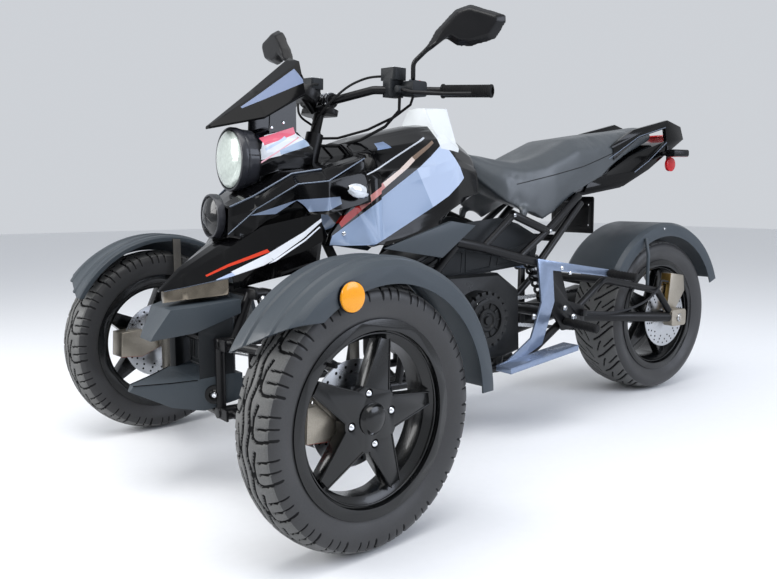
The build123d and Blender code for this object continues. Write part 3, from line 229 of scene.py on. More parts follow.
looks = [
    (satinBlack, "frame_cradle front_frame frame_sides frame_spine wishbones_left wishbones_right"),
    (satinBlack, "front_shocks exhaust swingarm rear_shock plate_bracket handlebar steering_stem"),
    (satinBlack, "levers mirrors gauge"),
    (hoseBraid, "brake_hose"), (enginePaint, "engine"), (goldCaliper, "rear_caliper"),
    (groundSteel, "chain steering_shaft tie_rod_left tie_rod_right rear_hub front_disc_left front_disc_right"),
    (bracketSkyReflection, "side_brackets"), (gripRubber, "foot_pegs grips bar_cables"), (trimReflection, "bright_strip"),
    (matteGrey, "bumper_mask rear_fender side_panels front_fender_left front_fender_right"),
    (beakPaint, "beak"), (fairingPaintAndReflection, "upper_fairing"), (tankPaintAndReflections, "tank"), (seatLeather, "seat"),
    (glossBlack, "tail"), (redLens, "rear_lamps"), (screenPaintAndReflection, "fly_screen"), (bucketPaint, "headlight"),
    (cowlPaint, "headlight_cowl"), (darkLens, "lower_lamp"), (clearLens, "front_indicators"),
    (airBoxPlastic, "switch_pods"), (rubber, "rear_tyre front_tyre_left front_tyre_right"),
    (rimBlack, "rear_rim front_rim_left front_rim_right"), (smokedAlloy, "knuckle_left knuckle_right"),
    (castAlloy, "front_caliper_left front_caliper_right"),
    (amberLens, "fender_reflector_left fender_reflector_right"),
]
for material, names in looks:
    for name in names.split():
        nodes[name].data.materials.clear()
        nodes[name].data.materials.append(material)
print("materials done")

# Shared modelling helpers

bothSides = ((1, "Left"), (-1, "Right"))


def mirrored(points, side):
    # points of the left side, taken to the side that is asked for
    return [(x, side * y, z) for x, y, z in points]


def keep(piece, body="chassis", *replaced, slot=None):
    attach(piece, body)
    if replaced:
        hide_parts(*replaced)
    return piece


def select(piece):
    bpy.ops.object.select_all(action="DESELECT")
    piece.select_set(True)
    bpy.context.view_layer.objects.active = piece


def modify(piece, kind, **settings):
    select(piece)
    modifier = piece.modifiers.new(kind.lower(), kind)
    for key, value in settings.items():
        setattr(modifier, key, value)
    bpy.ops.object.modifier_apply(modifier=modifier.name)


def smooth(piece, degrees=35):
    select(piece)
    bpy.ops.object.shade_smooth_by_angle(angle=radians(degrees))


def meshPiece(name, vertices, faces, *materials):
    mesh = bpy.data.meshes.new(name)
    mesh.from_pydata(vertices, [], faces)
    piece = bpy.data.objects.new(name, mesh)
    bpy.context.scene.collection.objects.link(piece)
    for material in materials:
        mesh.materials.append(material)
    select(piece)
    bpy.ops.object.mode_set(mode="EDIT")
    bpy.ops.mesh.select_all(action="SELECT")
    bpy.ops.mesh.normals_make_consistent(inside=False)
    bpy.ops.object.mode_set(mode="OBJECT")
    return piece


def joined(name, pieces):
    select(pieces[0])
    for piece in pieces:
        piece.select_set(True)
    if len(pieces) > 1:
        bpy.ops.object.join()
    piece = bpy.context.object
    piece.name = name
    select(piece)
    bpy.ops.object.transform_apply(location=True, rotation=True, scale=True)
    return piece


def copyOf(name, suffix):
    # a loose copy of a CAD piece, in its place
    piece = nodes[name].copy()
    piece.data = nodes[name].data.copy()
    piece.parent = None
    piece.matrix_world = Matrix.Identity(4)
    piece.name = name + suffix
    bpy.context.scene.collection.objects.link(piece)
    return piece


def softened(name, width, material=None, degrees=28):
    # the CAD shape with its edges rounded, as moulding and casting leave them
    piece = copyOf(name, "Rounded")
    select(piece)
    bpy.ops.object.mode_set(mode="EDIT")
    bpy.ops.mesh.select_all(action="SELECT")
    bpy.ops.mesh.remove_doubles(threshold=0.00002)
    bpy.ops.mesh.dissolve_limited(angle_limit=radians(0.1))
    bpy.ops.object.mode_set(mode="OBJECT")
    modify(piece, "BEVEL", width=width * mm, segments=2, limit_method="ANGLE",
           angle_limit=radians(degrees), harden_normals=False, use_clamp_overlap=True)
    smooth(piece, 40)
    if material:
        piece.data.materials.clear()
        piece.data.materials.append(material)
    return keep(piece, bodyOf[name], name)


# Wheels

wheels = {
    "front": {"radius": 283, "width": 120, "pitches": 20, "columns": 40, "crown": 66},
    "rear": {"radius": 286, "width": 205, "pitches": 24, "columns": 30, "crown": 96},
    "flange": 207.5, "bead": 190.5, "beadLip": 2, "beadShare": 0.86, "wall": 4, "wallSteps": 12,
    "shoulderShare": 0.84, "drop": 12, "grooveDeep": 5.5, "grooveEdge": 1.6, "grooveBand": 34,
    "axleX": 858, "rearX": -842, "wheelY": 575, "kingpinY": 495, "parked": 6.5,
}


def steered(side):
    pivot = Vector((wheels["axleX"], side * wheels["kingpinY"], 0)) * mm
    spin = Matrix.Rotation(radians(wheels["parked"]), 4, "Z")
    return Matrix.Translation(pivot) @ spin @ Matrix.Translation(-pivot)


def wheelPlace(side):
    # left and right front wheels are mirror images, side 0 is the rear wheel
    if side == 0:
        return Matrix.Translation(Vector((wheels["rearX"], 0, wheels["rear"]["radius"])) * mm)
    centre = Vector((wheels["axleX"], side * wheels["wheelY"], wheels["front"]["radius"])) * mm
    return steered(side) @ Matrix.Translation(centre) @ Matrix.Diagonal((1, side, 1, 1))


def segmentGap(point, start, end):
    run = end - start
    share = max(0, min(1, (point - start).dot(run) / run.length_squared))
    return (point - start - run * share).length


# groove lines in one pitch, (share of the pitch, share of the half width), and their widths in mm
frontGrooves = [
    (5.6, [(0.14, 1.14), (0.08, 0.74), (0.1, 0.56), (0.18, 0.45), (0.34, 0.4), (0.6, 0.42), (0.84, 0.52)]),
    (3.6, [(0.4, 1.16), (0.36, 0.62)]),
    (3.6, [(0.68, 1.16), (0.63, 0.64)]),
    (6.4, [(-0.1, 0.12), (0.1, 0.2), (0.3, 0.26), (0.5, 0.22), (0.7, 0.14), (0.9, 0.12), (1.1, 0.2)]),
]
rearGrooves = [
    (6.0, [(0.75, 0.98), (0.45, 0.7), (0.12, 0.36), (-0.05, 0.1)]),
    (4.4, [(1.1, 0.97), (0.85, 0.75), (0.62, 0.52)]),
    (4.2, [(0.35, 0.16), (0.7, 0.3), (0.9, 0.42)]),
]


def grooveDepth(grooves, size, along, across):
    # 1 on a groove's floor, 0 beside it, and a slope between them
    half = size["width"] / 2 * wheels["beadShare"]
    pitch = 2 * pi * size["radius"] / size["pitches"]
    edge = wheels["grooveEdge"]
    deepest = 0
    for width, line in grooves:
        points = [Vector((u * pitch, v * half)) for u, v in line]
        for shift in (-pitch, 0, pitch):
            here = Vector((along + shift, across))
            gap = min(segmentGap(here, a, b) for a, b in zip(points, points[1:]))
            deepest = max(deepest, min(1, max(0, (width / 2 + edge - gap) / (2 * edge))))
    return deepest


def tyreRing(size):
    # the outline from bead to bead: place across, radius, and 1 on the tread or 0 on a side wall
    radius, half = size["radius"], size["width"] / 2
    bead = half * wheels["beadShare"] - wheels["wall"]
    shoulder, drop = half * wheels["shoulderShare"], wheels["drop"]
    flange = wheels["flange"]
    start, end = Vector((bead, flange)), Vector((shoulder, radius - drop))
    bend = Vector((half, (flange + radius) / 2)) * 2 - (start + end) / 2
    wall = [Vector((bead, wheels["bead"] + wheels["beadLip"]))]
    for k in range(wheels["wallSteps"]):
        t = k / wheels["wallSteps"]
        wall.append(start * (1 - t) ** 2 + bend * 2 * t * (1 - t) + end * t ** 2)
    ring = [(point.x, point.y, 0) for point in wall]
    count = size["crown"]
    for k in range(count + 1):
        y = shoulder - 2 * shoulder * k / count
        ring.append((y, radius - drop * (y / shoulder) ** 2, 1))
    return ring + [(-point.x, point.y, 0) for point in reversed(wall)]


def treadTyre(name, size, grooves, side, node, body):
    radius = size["radius"]
    ring = tyreRing(size)
    pitch = 2 * pi * radius / size["pitches"]
    columns = size["columns"]
    depths = []
    for c in range(columns):
        row = []
        for y, r, _ in ring:
            shift = 0 if y > 0 else pitch / 2
            along = (c / columns * pitch + shift) % pitch
            grooved = r > radius - wheels["grooveBand"]
            row.append(grooveDepth(grooves, size, along, abs(y)) if grooved else 0)
        depths.append(row)
    total = columns * size["pitches"]
    place = wheelPlace(side)
    vertices = []
    for c in range(total):
        angle = 2 * pi * c / total
        for (y, r, _), depth in zip(ring, depths[c % columns]):
            low = r - wheels["grooveDeep"] * depth
            vertices.append(place @ (Vector((low * cos(angle), y, low * sin(angle))) * mm))
    width = len(ring)
    faces = []
    # material of each face: 0 tread, 1 groove floor and walls in painted shade, 2 side wall
    kinds = []
    for c in range(total):
        n = (c + 1) % total
        near, far = depths[c % columns], depths[n % columns]
        for k in range(width - 1):
            faces.append((c * width + k, c * width + k + 1, n * width + k + 1, n * width + k))
            onWall = not (ring[k][2] or ring[k + 1][2])
            kinds.append(1 if sum(near[k:k + 2] + far[k:k + 2]) > 1.5 else 2 if onWall else 0)
        faces.append((c * width + width - 1, c * width, n * width, n * width + width - 1))
        kinds.append(2)
    piece = meshPiece(name, vertices, faces, rubber, recessShade, sidewallRubber)
    for polygon, kind in zip(piece.data.polygons, kinds):
        polygon.material_index = kind
    smooth(piece, 50)
    return keep(piece, body, node, slot="tyre_rubber")


treadTyre("rearTreadTyre", wheels["rear"], rearGrooves, 0, "rear_tyre", "rear_wheel")
for side, word in bothSides:
    treadTyre("frontTreadTyre" + word, wheels["front"], frontGrooves, side,
              "front_tyre_" + word.lower(), "front_wheel_" + word.lower())
print("tyres done")

# Turned and drawn pieces


def strand(name, points, radius, material, sides=8, closed=False):
    # a round strand through points in mm
    points = [Vector(point) for point in points]
    count = len(points)
    vertices = []
    normal = None
    for k, point in enumerate(points):
        before = points[k - 1] if k or closed else point
        after = points[(k + 1) % count] if k < count - 1 or closed else point
        heading = (after - before).normalized()
        if normal is None:
            normal = heading.orthogonal()
        normal = (normal - heading * normal.dot(heading)).normalized()
        side = heading.cross(normal)
        for j in range(sides):
            angle = 2 * pi * j / sides
            vertices.append((point + (normal * cos(angle) + side * sin(angle)) * radius) * mm)
    faces = []
    for k in range(count if closed else count - 1):
        n = (k + 1) % count
        for j in range(sides):
            m = (j + 1) % sides
            faces.append((k * sides + j, k * sides + m, n * sides + m, n * sides + j))
    if not closed:
        faces += [tuple(range(sides)), tuple(range((count - 1) * sides, count * sides))]
    piece = meshPiece(name, vertices, faces, material)
    smooth(piece, 50)
    return piece


def slab(name, outer, inner, material, width):
    # a closed plate between two outlines with the same number of points
    count = len(outer)
    points = [tuple(v * mm for v in point) for point in list(outer) + list(inner)]
    faces = [tuple(range(count)), tuple(range(2 * count - 1, count - 1, -1))]
    faces += [(k, k + count, (k + 1) % count + count, (k + 1) % count) for k in range(count)]
    piece = meshPiece(name, points, faces, material)
    modify(piece, "BEVEL", width=width * mm, segments=2, limit_method="ANGLE", angle_limit=radians(30))
    smooth(piece, 40)
    return piece


def facing(point, direction):
    # the place where a turned piece's Y axis runs along a direction from a point in mm
    spin = Vector((0, 1, 0)).rotation_difference(Vector(direction)).to_matrix().to_4x4()
    return Matrix.Translation(Vector(point) * mm) @ spin


def turned(name, profile, place, material, steps=48, degrees=30):
    # profile of (length along the axis, radius) in mm, from axis to axis or as a closed ring
    vertices = []
    for k in range(steps):
        angle = 2 * pi * k / steps
        vertices += [place @ (Vector((r * cos(angle), y, r * sin(angle))) * mm) for y, r in profile]
    width = len(profile)
    faces = []
    for k in range(steps):
        n = (k + 1) % steps
        for j in range(width):
            m = (j + 1) % width
            faces.append((k * width + j, k * width + m, n * width + m, n * width + j))
    piece = meshPiece(name, vertices, faces, material)
    select(piece)
    bpy.ops.object.mode_set(mode="EDIT")
    bpy.ops.mesh.select_all(action="SELECT")
    bpy.ops.mesh.remove_doubles(threshold=0.000005)
    bpy.ops.mesh.dissolve_degenerate(threshold=0.000005)
    bpy.ops.mesh.normals_make_consistent(inside=False)
    bpy.ops.object.mode_set(mode="OBJECT")
    smooth(piece, degrees)
    return piece


# outline of a domed head with a socket, in shares of its height and radius
boltHead = {"high": 0.75, "sunk": 2, "outline": [(0.45, 1), (0.85, 0.78), (1, 0.5), (0.4, 0.45), (0.4, 0)]}


def bolt(name, point, direction, radius, material):
    high = radius * boltHead["high"]
    profile = [(-boltHead["sunk"], 0), (-boltHead["sunk"], radius)]
    profile += [(high * up, radius * out) for up, out in boltHead["outline"]]
    return turned(name, profile, facing(point, direction), material, 20)


# Rims with their caps, nuts and spoke ridges

rims = {
    "front": {"face": 36, "flange": 51.6}, "rear": {"face": 60, "flange": 88.15}, "edge": 2.2,
    "spokes": 5, "turn": 77, "ridgeIn": 62, "ridgeOut": 168, "rootHalf": 34, "tipHalf": 13, "ridge": 1.5,
    "proud": 0.2, "steps": [(178, 2.2), (186, 1.6)], "stepFrom": 206, "stepSlope": 0.35, "stepPoints": 96,
    "lugs": 55, "lugCount": 4, "lugTurn": 8, "lugSunk": 13, "valveAt": (-120, 131, 40),
    "cap": [(-2, 0), (-2, 34), (3, 34), (5, 31), (11, 27), (15, 18), (16.5, 8), (16.5, 0)],
    "nut": [(0, 0), (0, 8.5), (11, 8.5), (15, 6.5), (17.5, 3), (18, 0)],
    "valve": [(0, 0), (0, 4.5), (18, 3.5), (20, 3.8), (30, 3.8), (31, 3), (31, 0)],
}


def onFace(place, across, up, proud):
    # a point of the wheel's outer face, across counted to the rear
    return (place @ (Vector((-across, proud, up)) * mm)) / mm


def wheelTrim(word, size, side, body, rim):
    place = wheelPlace(side)
    outward = place.to_3x3() @ Vector((0, 1, 0))
    softened(rim, rims["edge"], rimBlack)
    face = size["face"]
    inner, outer = rims["ridgeIn"], rims["ridgeOut"]
    root, tip = rims["rootHalf"], rims["tipHalf"]
    pieces = []
    for k in range(rims["spokes"]):
        turn = radians(rims["turn"] + 360 / rims["spokes"] * k)
        for edge in (1, -1):
            points = []
            for share in (0, 0.5, 1):
                reach = inner + (outer - inner) * share
                off = edge * (root + (tip - root) * share)
                across = reach * cos(turn) - off * sin(turn)
                high = reach * sin(turn) + off * cos(turn)
                points.append(onFace(place, across, high, face + rims["proud"]))
            pieces.append(strand("ridge", points, rims["ridge"], rimBlack, 8))
    turns = [2 * pi * n / rims["stepPoints"] for n in range(rims["stepPoints"])]
    for reach, wide in rims["steps"]:
        depth = size["flange"] - (rims["stepFrom"] - reach) * rims["stepSlope"]
        ring = [onFace(place, reach * cos(a), reach * sin(a), depth) for a in turns]
        pieces.append(strand("step", ring, wide, rimBlack, 8, True))
    keep(joined("spokeRidges" + word, pieces), body)
    profile = [(face + y, r) for y, r in rims["cap"]]
    keep(turned("hubCap" + word, profile, place, rimBlack, 56), body)
    nuts = []
    for k in range(rims["lugCount"]):
        turn = radians(rims["lugTurn"] + 360 / rims["lugCount"] * k)
        across, high = rims["lugs"] * cos(turn), rims["lugs"] * sin(turn)
        spot = onFace(place, across, high, face - rims["lugSunk"])
        nuts.append(turned("nut", rims["nut"], facing(spot, outward), chrome, 24))
    keep(joined("lugNuts" + word, nuts), body)


wheelTrim("Rear", rims["rear"], 0, "rear_wheel", "rear_rim")
for side, word in bothSides:
    body = "front_wheel_" + word.lower()
    wheelTrim("Front" + word, rims["front"], side, body, "front_rim_" + word.lower())
    place = wheelPlace(side)
    foot = facing(onFace(place, *rims["valveAt"]), place.to_3x3() @ Vector((0, 1, 0)))
    keep(turned("tyreValve" + word, rims["valve"], foot, gripRubber, 16), body)
print("rims done")

# Painted, cast and moulded pieces with their edges rounded

edgeWidths = {
    "front_frame": 1.2, "frame_sides": 1.2, "wishbones_left": 1.2, "wishbones_right": 1.2, "engine": 2.0,
    "swingarm": 1.5, "rear_caliper": 2.5, "side_brackets": 1.4, "bumper_mask": 4, "bright_strip": 1.2,
    "beak": 2.2, "upper_fairing": 1.2, "headlight_cowl": 2.0, "tank": 5, "tail": 3.5, "rear_lamps": 2.5,
    "plate_bracket": 1.2, "rear_fender": 1.6, "side_panels": 4, "fly_screen": 1.4, "steering_stem": 1.5,
    "switch_pods": 4.5, "levers": 1.2, "gauge": 3, "exhaust": 2, "rear_hub": 0.8, "foot_pegs": 1.5,
    "knuckle_left": 2, "knuckle_right": 2, "front_caliper_left": 3, "front_caliper_right": 3,
    "front_fender_left": 1.6, "front_fender_right": 1.6, "front_disc_left": 0.6, "front_disc_right": 0.6,
    "steering_shaft": 1.2,
}
rounded = {name: softened(name, width) for name, width in edgeWidths.items()}
print("edges rounded")


def recolor(name, material, inside):
    # the faces whose centre, in mm, lies inside take another material
    piece = rounded[name]
    piece.data.materials.append(material)
    last = len(piece.data.materials) - 1
    for polygon in piece.data.polygons:
        if inside(*(polygon.center / mm)):
            polygon.material_index = last


# axle blocks, rear caliper bridge, lamp backs, mask chin and cheeks, knuckle tops, ends of the front calipers
recolor("swingarm", castAlloy, lambda x, y, z: -886 < x < -798 and 254 < z < 318 and y > 130)
recolor("rear_caliper", castAlloy, lambda x, y, z: z > 408 or y > 133)
recolor("rear_lamps", satinBlack, lambda x, y, z: abs(y) > 60 and (z > 872 or abs(y) < 128.5))
recolor("bumper_mask", airBoxPlastic, lambda x, y, z: z < 240 or (300 < z < 404 and abs(y) > 76))
for word in ("left", "right"):
    recolor("knuckle_" + word, satinBlack, lambda x, y, z: z > 372)
    recolor("front_caliper_" + word, redPaint, lambda x, y, z: z < 262 and x > 900)


def moulded(name, voxel, rounds):
    # the CAD shape remade with the soft edges of a moulding
    piece = copyOf(name, "Moulded")
    modify(piece, "REMESH", mode="VOXEL", voxel_size=voxel * mm, use_smooth_shade=True)
    modify(piece, "SMOOTH", factor=0.5, iterations=rounds)
    return piece


keep(moulded("mirrors", 3, 12), "handlebar", "mirrors")
print("mirrors done")

# Lamps

lamps = {
    "headX": 864, "headZ": 829, "lowX": 902.3, "lowZ": 685, "seamRadius": 79, "seamTurn": 0.12,
    "seamX": (-60, -40, -20), "ribTurns": (28, 92, 150), "ribRadius": 47, "ribTop": 28.6, "ribDrop": 11,
}
ahead = (1, 0, 0)
headPlace = facing((lamps["headX"], 0, lamps["headZ"]), ahead)
bucket = turned("headlightBucket", [
    (-78, 0), (-78, 50), (-70, 58), (-54, 76), (-30, 78), (-24, 79.5), (-20, 78.5), (-17, 81.5), (-4, 82),
    (0, 80), (1, 76), (-4, 74), (-14, 71), (-14, 0),
], headPlace, bucketPaint, 96)
keep(bucket, "chassis", "headlight")
lens = turned("headlightLens", [
    (-13, 0), (-13, 72), (0, 72.5), (4, 68), (8, 56), (11, 42), (13, 24), (14, 0),
], headPlace, lensGlass, 96)
keep(lens)
seamY = lamps["seamRadius"] * cos(lamps["seamTurn"])
seamZ = lamps["headZ"] + lamps["seamRadius"] * sin(lamps["seamTurn"])
seamPoints = [(lamps["headX"] + x, seamY, seamZ) for x in lamps["seamX"]]
keep(strand("bucketSeam", seamPoints, 1.2, glossBlack, 6))
lowPlace = facing((lamps["lowX"], 0, lamps["lowZ"]), ahead)
shell = turned("lowerLampShell", [
    (0, 0), (0, 56.5), (14, 57), (19, 55), (20, 51), (15, 49), (12, 0),
], lowPlace, bucketPaint, 72)
lowLens = turned("lowerLampLens", [
    (12.5, 0), (12.5, 48.5), (17, 48.5), (21, 42), (25, 30), (28, 15), (28.8, 0),
], lowPlace, darkLens, 72)
cross = []
for angle in lamps["ribTurns"]:
    across, up = lamps["ribRadius"] * cos(radians(angle)), lamps["ribRadius"] * sin(radians(angle))
    cross.append(strand("rib", [
        (lamps["lowX"] + lamps["ribTop"] - lamps["ribDrop"] * t ** 2, across * t, lamps["lowZ"] + up * t)
        for t in (-1, -0.75, -0.5, -0.25, 0, 0.25, 0.5, 0.75, 1)
    ], 1.1, glossBlack, 6))
keep(joined("lowerLamp", [shell, lowLens] + cross), "chassis", "lower_lamp")
print("lamps done")

# Front indicators, almond housings with clear lenses outside

indicator = {
    "center": (620, 229, 748), "lean": (1, 0.25, 0.2), "flat": 0.7,
    "lensY": 3, "lensRear": -26, "lensFront": 33,
    "outline": [
        (-38, 0), (-37, 5), (-30, 11.5), (-18, 16.5), (-2, 18.6), (12, 17.2), (26, 12), (35, 5.5), (38, 0),
    ],
    "stem": [(606, 194, 742), (614, 208, 745), (620, 220, 747)], "stemRadius": 7,
}
for side, word in bothSides:
    center, lean = mirrored([indicator["center"], indicator["lean"]], side)
    place = facing(center, lean)
    almond = turned("indicatorHousing" + word, indicator["outline"], place, glossBlack, 48)
    almond.data.materials.append(clearLens)
    for vertex in almond.data.vertices:
        vertex.co.y = center[1] * mm + (vertex.co.y - center[1] * mm) * indicator["flat"]
    for polygon in almond.data.polygons:
        spot = polygon.center / mm
        outside = (spot.y - center[1]) * side > indicator["lensY"]
        if outside and indicator["lensRear"] < spot.x - center[0] < indicator["lensFront"]:
            polygon.material_index = 1
    stem = strand("stem", mirrored(indicator["stem"], side), indicator["stemRadius"], glossBlack, 16)
    replaced = ("front_indicators",) if side < 0 else ()
    keep(joined("frontIndicator" + word, [almond, stem]), "chassis", *replaced)
print("indicators done")

# Shocks with coiled springs

# lengths in shares of the distance between the eyes, the body in a share of the coil's radius
spring = {
    "eyeGap": 8, "rod": 9, "bodyFrom": 0.45, "bodyTo": 0.84, "rodFrom": 0.86, "body": 0.6,
    "perches": (0.2, 0.86), "perchLow": 4, "perchHigh": 3, "coilFrom": 0.23, "coilRun": 0.6, "coilSteps": 20,
}


def shock(name, low, high, coil, wire, turns, eye, replaced):
    # eye: its radius, half its length and its axis
    low, high = Vector(low), Vector(high)
    run = high - low
    reach = run.length
    place = facing(low, run)
    gap, rod, body = spring["eyeGap"], spring["rod"], coil * spring["body"]
    bodyLow, bodyHigh = reach * spring["bodyFrom"], reach * spring["bodyTo"]
    pieces = [turned("damper", [
        (gap, 0), (gap, rod), (bodyLow, rod), (bodyLow, body), (bodyHigh, body),
        (reach * spring["rodFrom"], rod), (reach - gap, rod), (reach - gap, 0),
    ], place, groundSteel, 32)]
    for share in spring["perches"]:
        under, over = reach * share - spring["perchLow"], reach * share + spring["perchHigh"]
        profile = [(under, 0), (under, coil), (over, coil), (over, 0)]
        pieces.append(turned("perch", profile, place, satinBlack, 40))
    steps = turns * spring["coilSteps"]
    points = []
    for k in range(steps + 1):
        angle = 2 * pi * k / spring["coilSteps"]
        along = reach * (spring["coilFrom"] + spring["coilRun"] * k / steps)
        spot = Vector(((coil - wire) * cos(angle), along, (coil - wire) * sin(angle)))
        points.append(place @ (spot * mm) / mm)
    pieces.append(strand("coil", points, wire, satinBlack, 10))
    radius, half, axis = eye
    for end in (low, high):
        profile = [(-half, 0), (-half, radius), (half, radius), (half, 0)]
        pieces.append(turned("eye", profile, facing(end, axis), satinBlack, 36))
    return keep(joined(name, pieces), "chassis", *replaced)


for side, word in bothSides:
    replaced = ("front_shocks",) if side < 0 else ()
    shock("frontShock" + word, (858, side * 350, 228), (858, side * 152, 496), 26, 4.2, 8,
          (13.5, 15.5, (1, 0, 0)), replaced)
shock("rearShockCoil", (-345, 0, 332), (-191, 0, 600), 30, 5, 7, (16.5, 19.5, (0, 1, 0)), ("rear_shock",))
print("shocks done")

# Seat cover, stuffed and pulled over its base

quilt = {
    "voxel": 6, "rounds": 10, "frames": 20, "reach": 5, "calming": 6,
    "tackedBelow": -0.3, "freeAbove": 0.3,
}


def stuffed(name):
    piece = moulded(name, quilt["voxel"], quilt["rounds"])
    piece.name = name + "Cover"
    before = [(vertex.co.copy(), vertex.normal.copy()) for vertex in piece.data.vertices]
    select(piece)
    cloth = piece.modifiers.new("cloth", "CLOTH")
    cloth.settings.use_pressure = True
    cloth.settings.uniform_pressure_force = 4
    cloth.settings.effector_weights.gravity = 0
    cloth.settings.tension_stiffness = 25
    cloth.settings.compression_stiffness = 25
    cloth.point_cache.frame_start = 1
    cloth.point_cache.frame_end = quilt["frames"]
    for step in range(1, quilt["frames"] + 1):
        bpy.context.scene.frame_set(step)
    bpy.ops.object.modifier_apply(modifier="cloth")
    bpy.context.scene.frame_set(1)
    low, high = quilt["tackedBelow"], quilt["freeAbove"]
    for vertex, (old, normal) in zip(piece.data.vertices, before):
        moved = vertex.co - old
        # the underside and the lower edges are tacked to the seat base
        freedom = max(0, min(1, (normal.z - low) / (high - low)))
        freedom *= min(1, quilt["reach"] * mm / max(moved.length, 1e-9))
        vertex.co = old + moved * freedom
    modify(piece, "SMOOTH", factor=0.5, iterations=quilt["calming"])
    smooth(piece, 60)
    return piece


seatCover = stuffed("seat")
keep(seatCover, "chassis", "seat", slot="seat_cover")


def draped(piece, points, direction, radius, material):
    # a line laid on the piece, found by looking along a direction from 0.6 m before it
    found = []
    toward = Vector(direction).normalized()
    for point in points:
        hit, spot, normal, _ = piece.ray_cast(Vector(point) * mm - toward * 0.6, toward)
        if hit:
            found.append(spot / mm + normal * radius * 0.15)
    if len(found) < 2:
        return None
    return strand("seam", found, radius, material, 6)


def between(points, counts):
    # points laid evenly along a line with corners
    found = [Vector(points[0])]
    for start, end, count in zip(points, points[1:], counts):
        found += [Vector(start).lerp(Vector(end), k / count) for k in range(1, count + 1)]
    return found


seamThread = surface("seatSeamThread", "0e0e10", 0.7, grain=3000, bump=0.8)
topSeams = [
    ([(80, 38, 0), (-150, 92, 0), (-420, 88, 0), (-770, 52, 0)], (24, 24, 24)),
    ([(-60, 0, 0), (-60, 120, 0)], (16,)),
    ([(-205, 0, 0), (-205, 132, 0)], (18,)),
    ([(-330, 0, 0), (-330, 128, 0)], (18,)),
]
flankSeam = between([(-40, 0, 770), (-330, 0, 830), (-600, 0, 905)], (24, 20))
seams = []
for side in (1, -1):
    for points, counts in topSeams:
        line = between(mirrored(points, side), counts)
        seams.append(draped(seatCover, line, (0, 0, -1), 1.4, seamThread))
    seams.append(draped(seatCover, flankSeam, (0, -side, 0), 1.3, seamThread))
keep(joined("seatSeams", [seam for seam in seams if seam]))
print("seat done")

# Bolts, rivets and clamps on the chassis

# rows of x, y on the left side, z, radius and material
boltTable = {
    "screen": [(738, 62, 924, 4.5, chrome), (772, 62, 910, 4.5, chrome)],
    "panel": [(640, 192, 640, 6, chrome)],
    "plate": [
        (-192, 182.5, 505, 7, chrome), (-210, 182.5, 375, 9, groundSteel), (-69, 182.5, 360, 9, groundSteel),
        (-232, 182.5, 487, 6, chrome),
    ],
    "swing": [(-262, 173, 340, 12, groundSteel)],
    "axle": [(-842, 175, 286, 15, groundSteel)],
    "fender": [(-812, 120, 612, 5, groundSteel)],
    "frame": [(-145, 175, 624, 6, groundSteel), (11, 173, 676, 6, groundSteel)],
}
cover = {
    "x": 133, "z": 367, "count": 10, "boltRing": 62, "boltY": 186, "boltTurn": 0.3, "bolt": 4.5,
    "ribRadii": (36, 48, 60), "ribY": 187, "rib": 3,
    "outline": [
        (184, 0), (184, 34), (190, 34), (193, 30), (193, 24), (189, 20), (189, 14), (195, 12), (195, 0),
    ],
}
maskEye = {
    "place": (968, 110, 252), "lean": (0.45, 0.85, 0), "boltPlace": (972, 117, 252), "bolt": 7,
    "outline": [(0, 0), (0, 24), (3, 24), (4, 20), (2, 12), (5, 9), (7, 5), (7, 0)],
}
bolts = []
for word, rows in boltTable.items():
    for x, y, z, radius, material in rows:
        for side in (1, -1):
            bolts.append(bolt(word + "Bolt", (x, side * y, z), (0, side, 0), radius, material))
for side in (1, -1):
    for k in range(cover["count"]):
        turn = 2 * pi * k / cover["count"] + cover["boltTurn"]
        spot = (cover["x"] + cover["boltRing"] * cos(turn), side * cover["boltY"],
                cover["z"] + cover["boltRing"] * sin(turn))
        bolts.append(bolt("coverBolt", spot, (0, side, 0), cover["bolt"], groundSteel))
keep(joined("chassisBolts", bolts))
for side, word in bothSides:
    place = Matrix.Translation(Vector((cover["x"], 0, cover["z"])) * mm) @ Matrix.Diagonal((1, side, 1, 1))
    keep(turned("engineCover" + word, cover["outline"], place, enginePaint, 64))
    spokes = []
    for k in range(cover["count"]):
        turn = 2 * pi * k / cover["count"]
        spokes.append(strand("rib", [
            (cover["x"] + r * cos(turn), side * cover["ribY"], cover["z"] + r * sin(turn))
            for r in cover["ribRadii"]
        ], cover["rib"], enginePaint, 8))
    keep(joined("coverRibs" + word, spokes))
    place = facing(*mirrored([maskEye["place"], maskEye["lean"]], side))
    keep(turned("maskEye" + word, maskEye["outline"], place, glossBlack, 40))

# Radiator mouth of the bumper mask: a dark plate with its frame, well behind the opening

mouth = {
    "x": 952, "half": 76, "low": 300, "top": 404, "thick": 4, "rims": ((5, 4), (17, 2)), "proud": 1,
    "bars": (-48, -16, 16, 48), "barLow": 316, "barTop": 388, "bar": 1.8,
    "bolts": ((-38, 370), (38, 370), (0, 332)), "bolt": 5,
    "lipSeam": [(1136.5, 12, 276.5), (1060, 62.5, 283), (1006, 98.5, 290)], "seam": 1.2,
}
rim = [(mouth["x"], -mouth["half"], mouth["low"]), (mouth["x"], mouth["half"], mouth["low"]),
       (mouth["x"], mouth["half"], mouth["top"]), (mouth["x"], -mouth["half"], mouth["top"])]
back = [(x - mouth["thick"], y, z) for x, y, z in rim]
pieces = [slab("mouthPlate", rim, back, airBoxPlastic, 1)]
front = mouth["x"] + mouth["proud"]
for inset, wide in mouth["rims"]:
    frameLine = [
        (front, y - copysign(inset, y), z + (inset if z == mouth["low"] else -inset)) for x, y, z in rim
    ]
    for k in range(4):
        pieces.append(strand("rim", [frameLine[k], frameLine[(k + 1) % 4]], wide, airBoxPlastic, 8))
for y in mouth["bars"]:
    line = [(front, y, mouth["barLow"]), (front, y, mouth["barTop"])]
    pieces.append(strand("bar", line, mouth["bar"], glossBlack, 8))
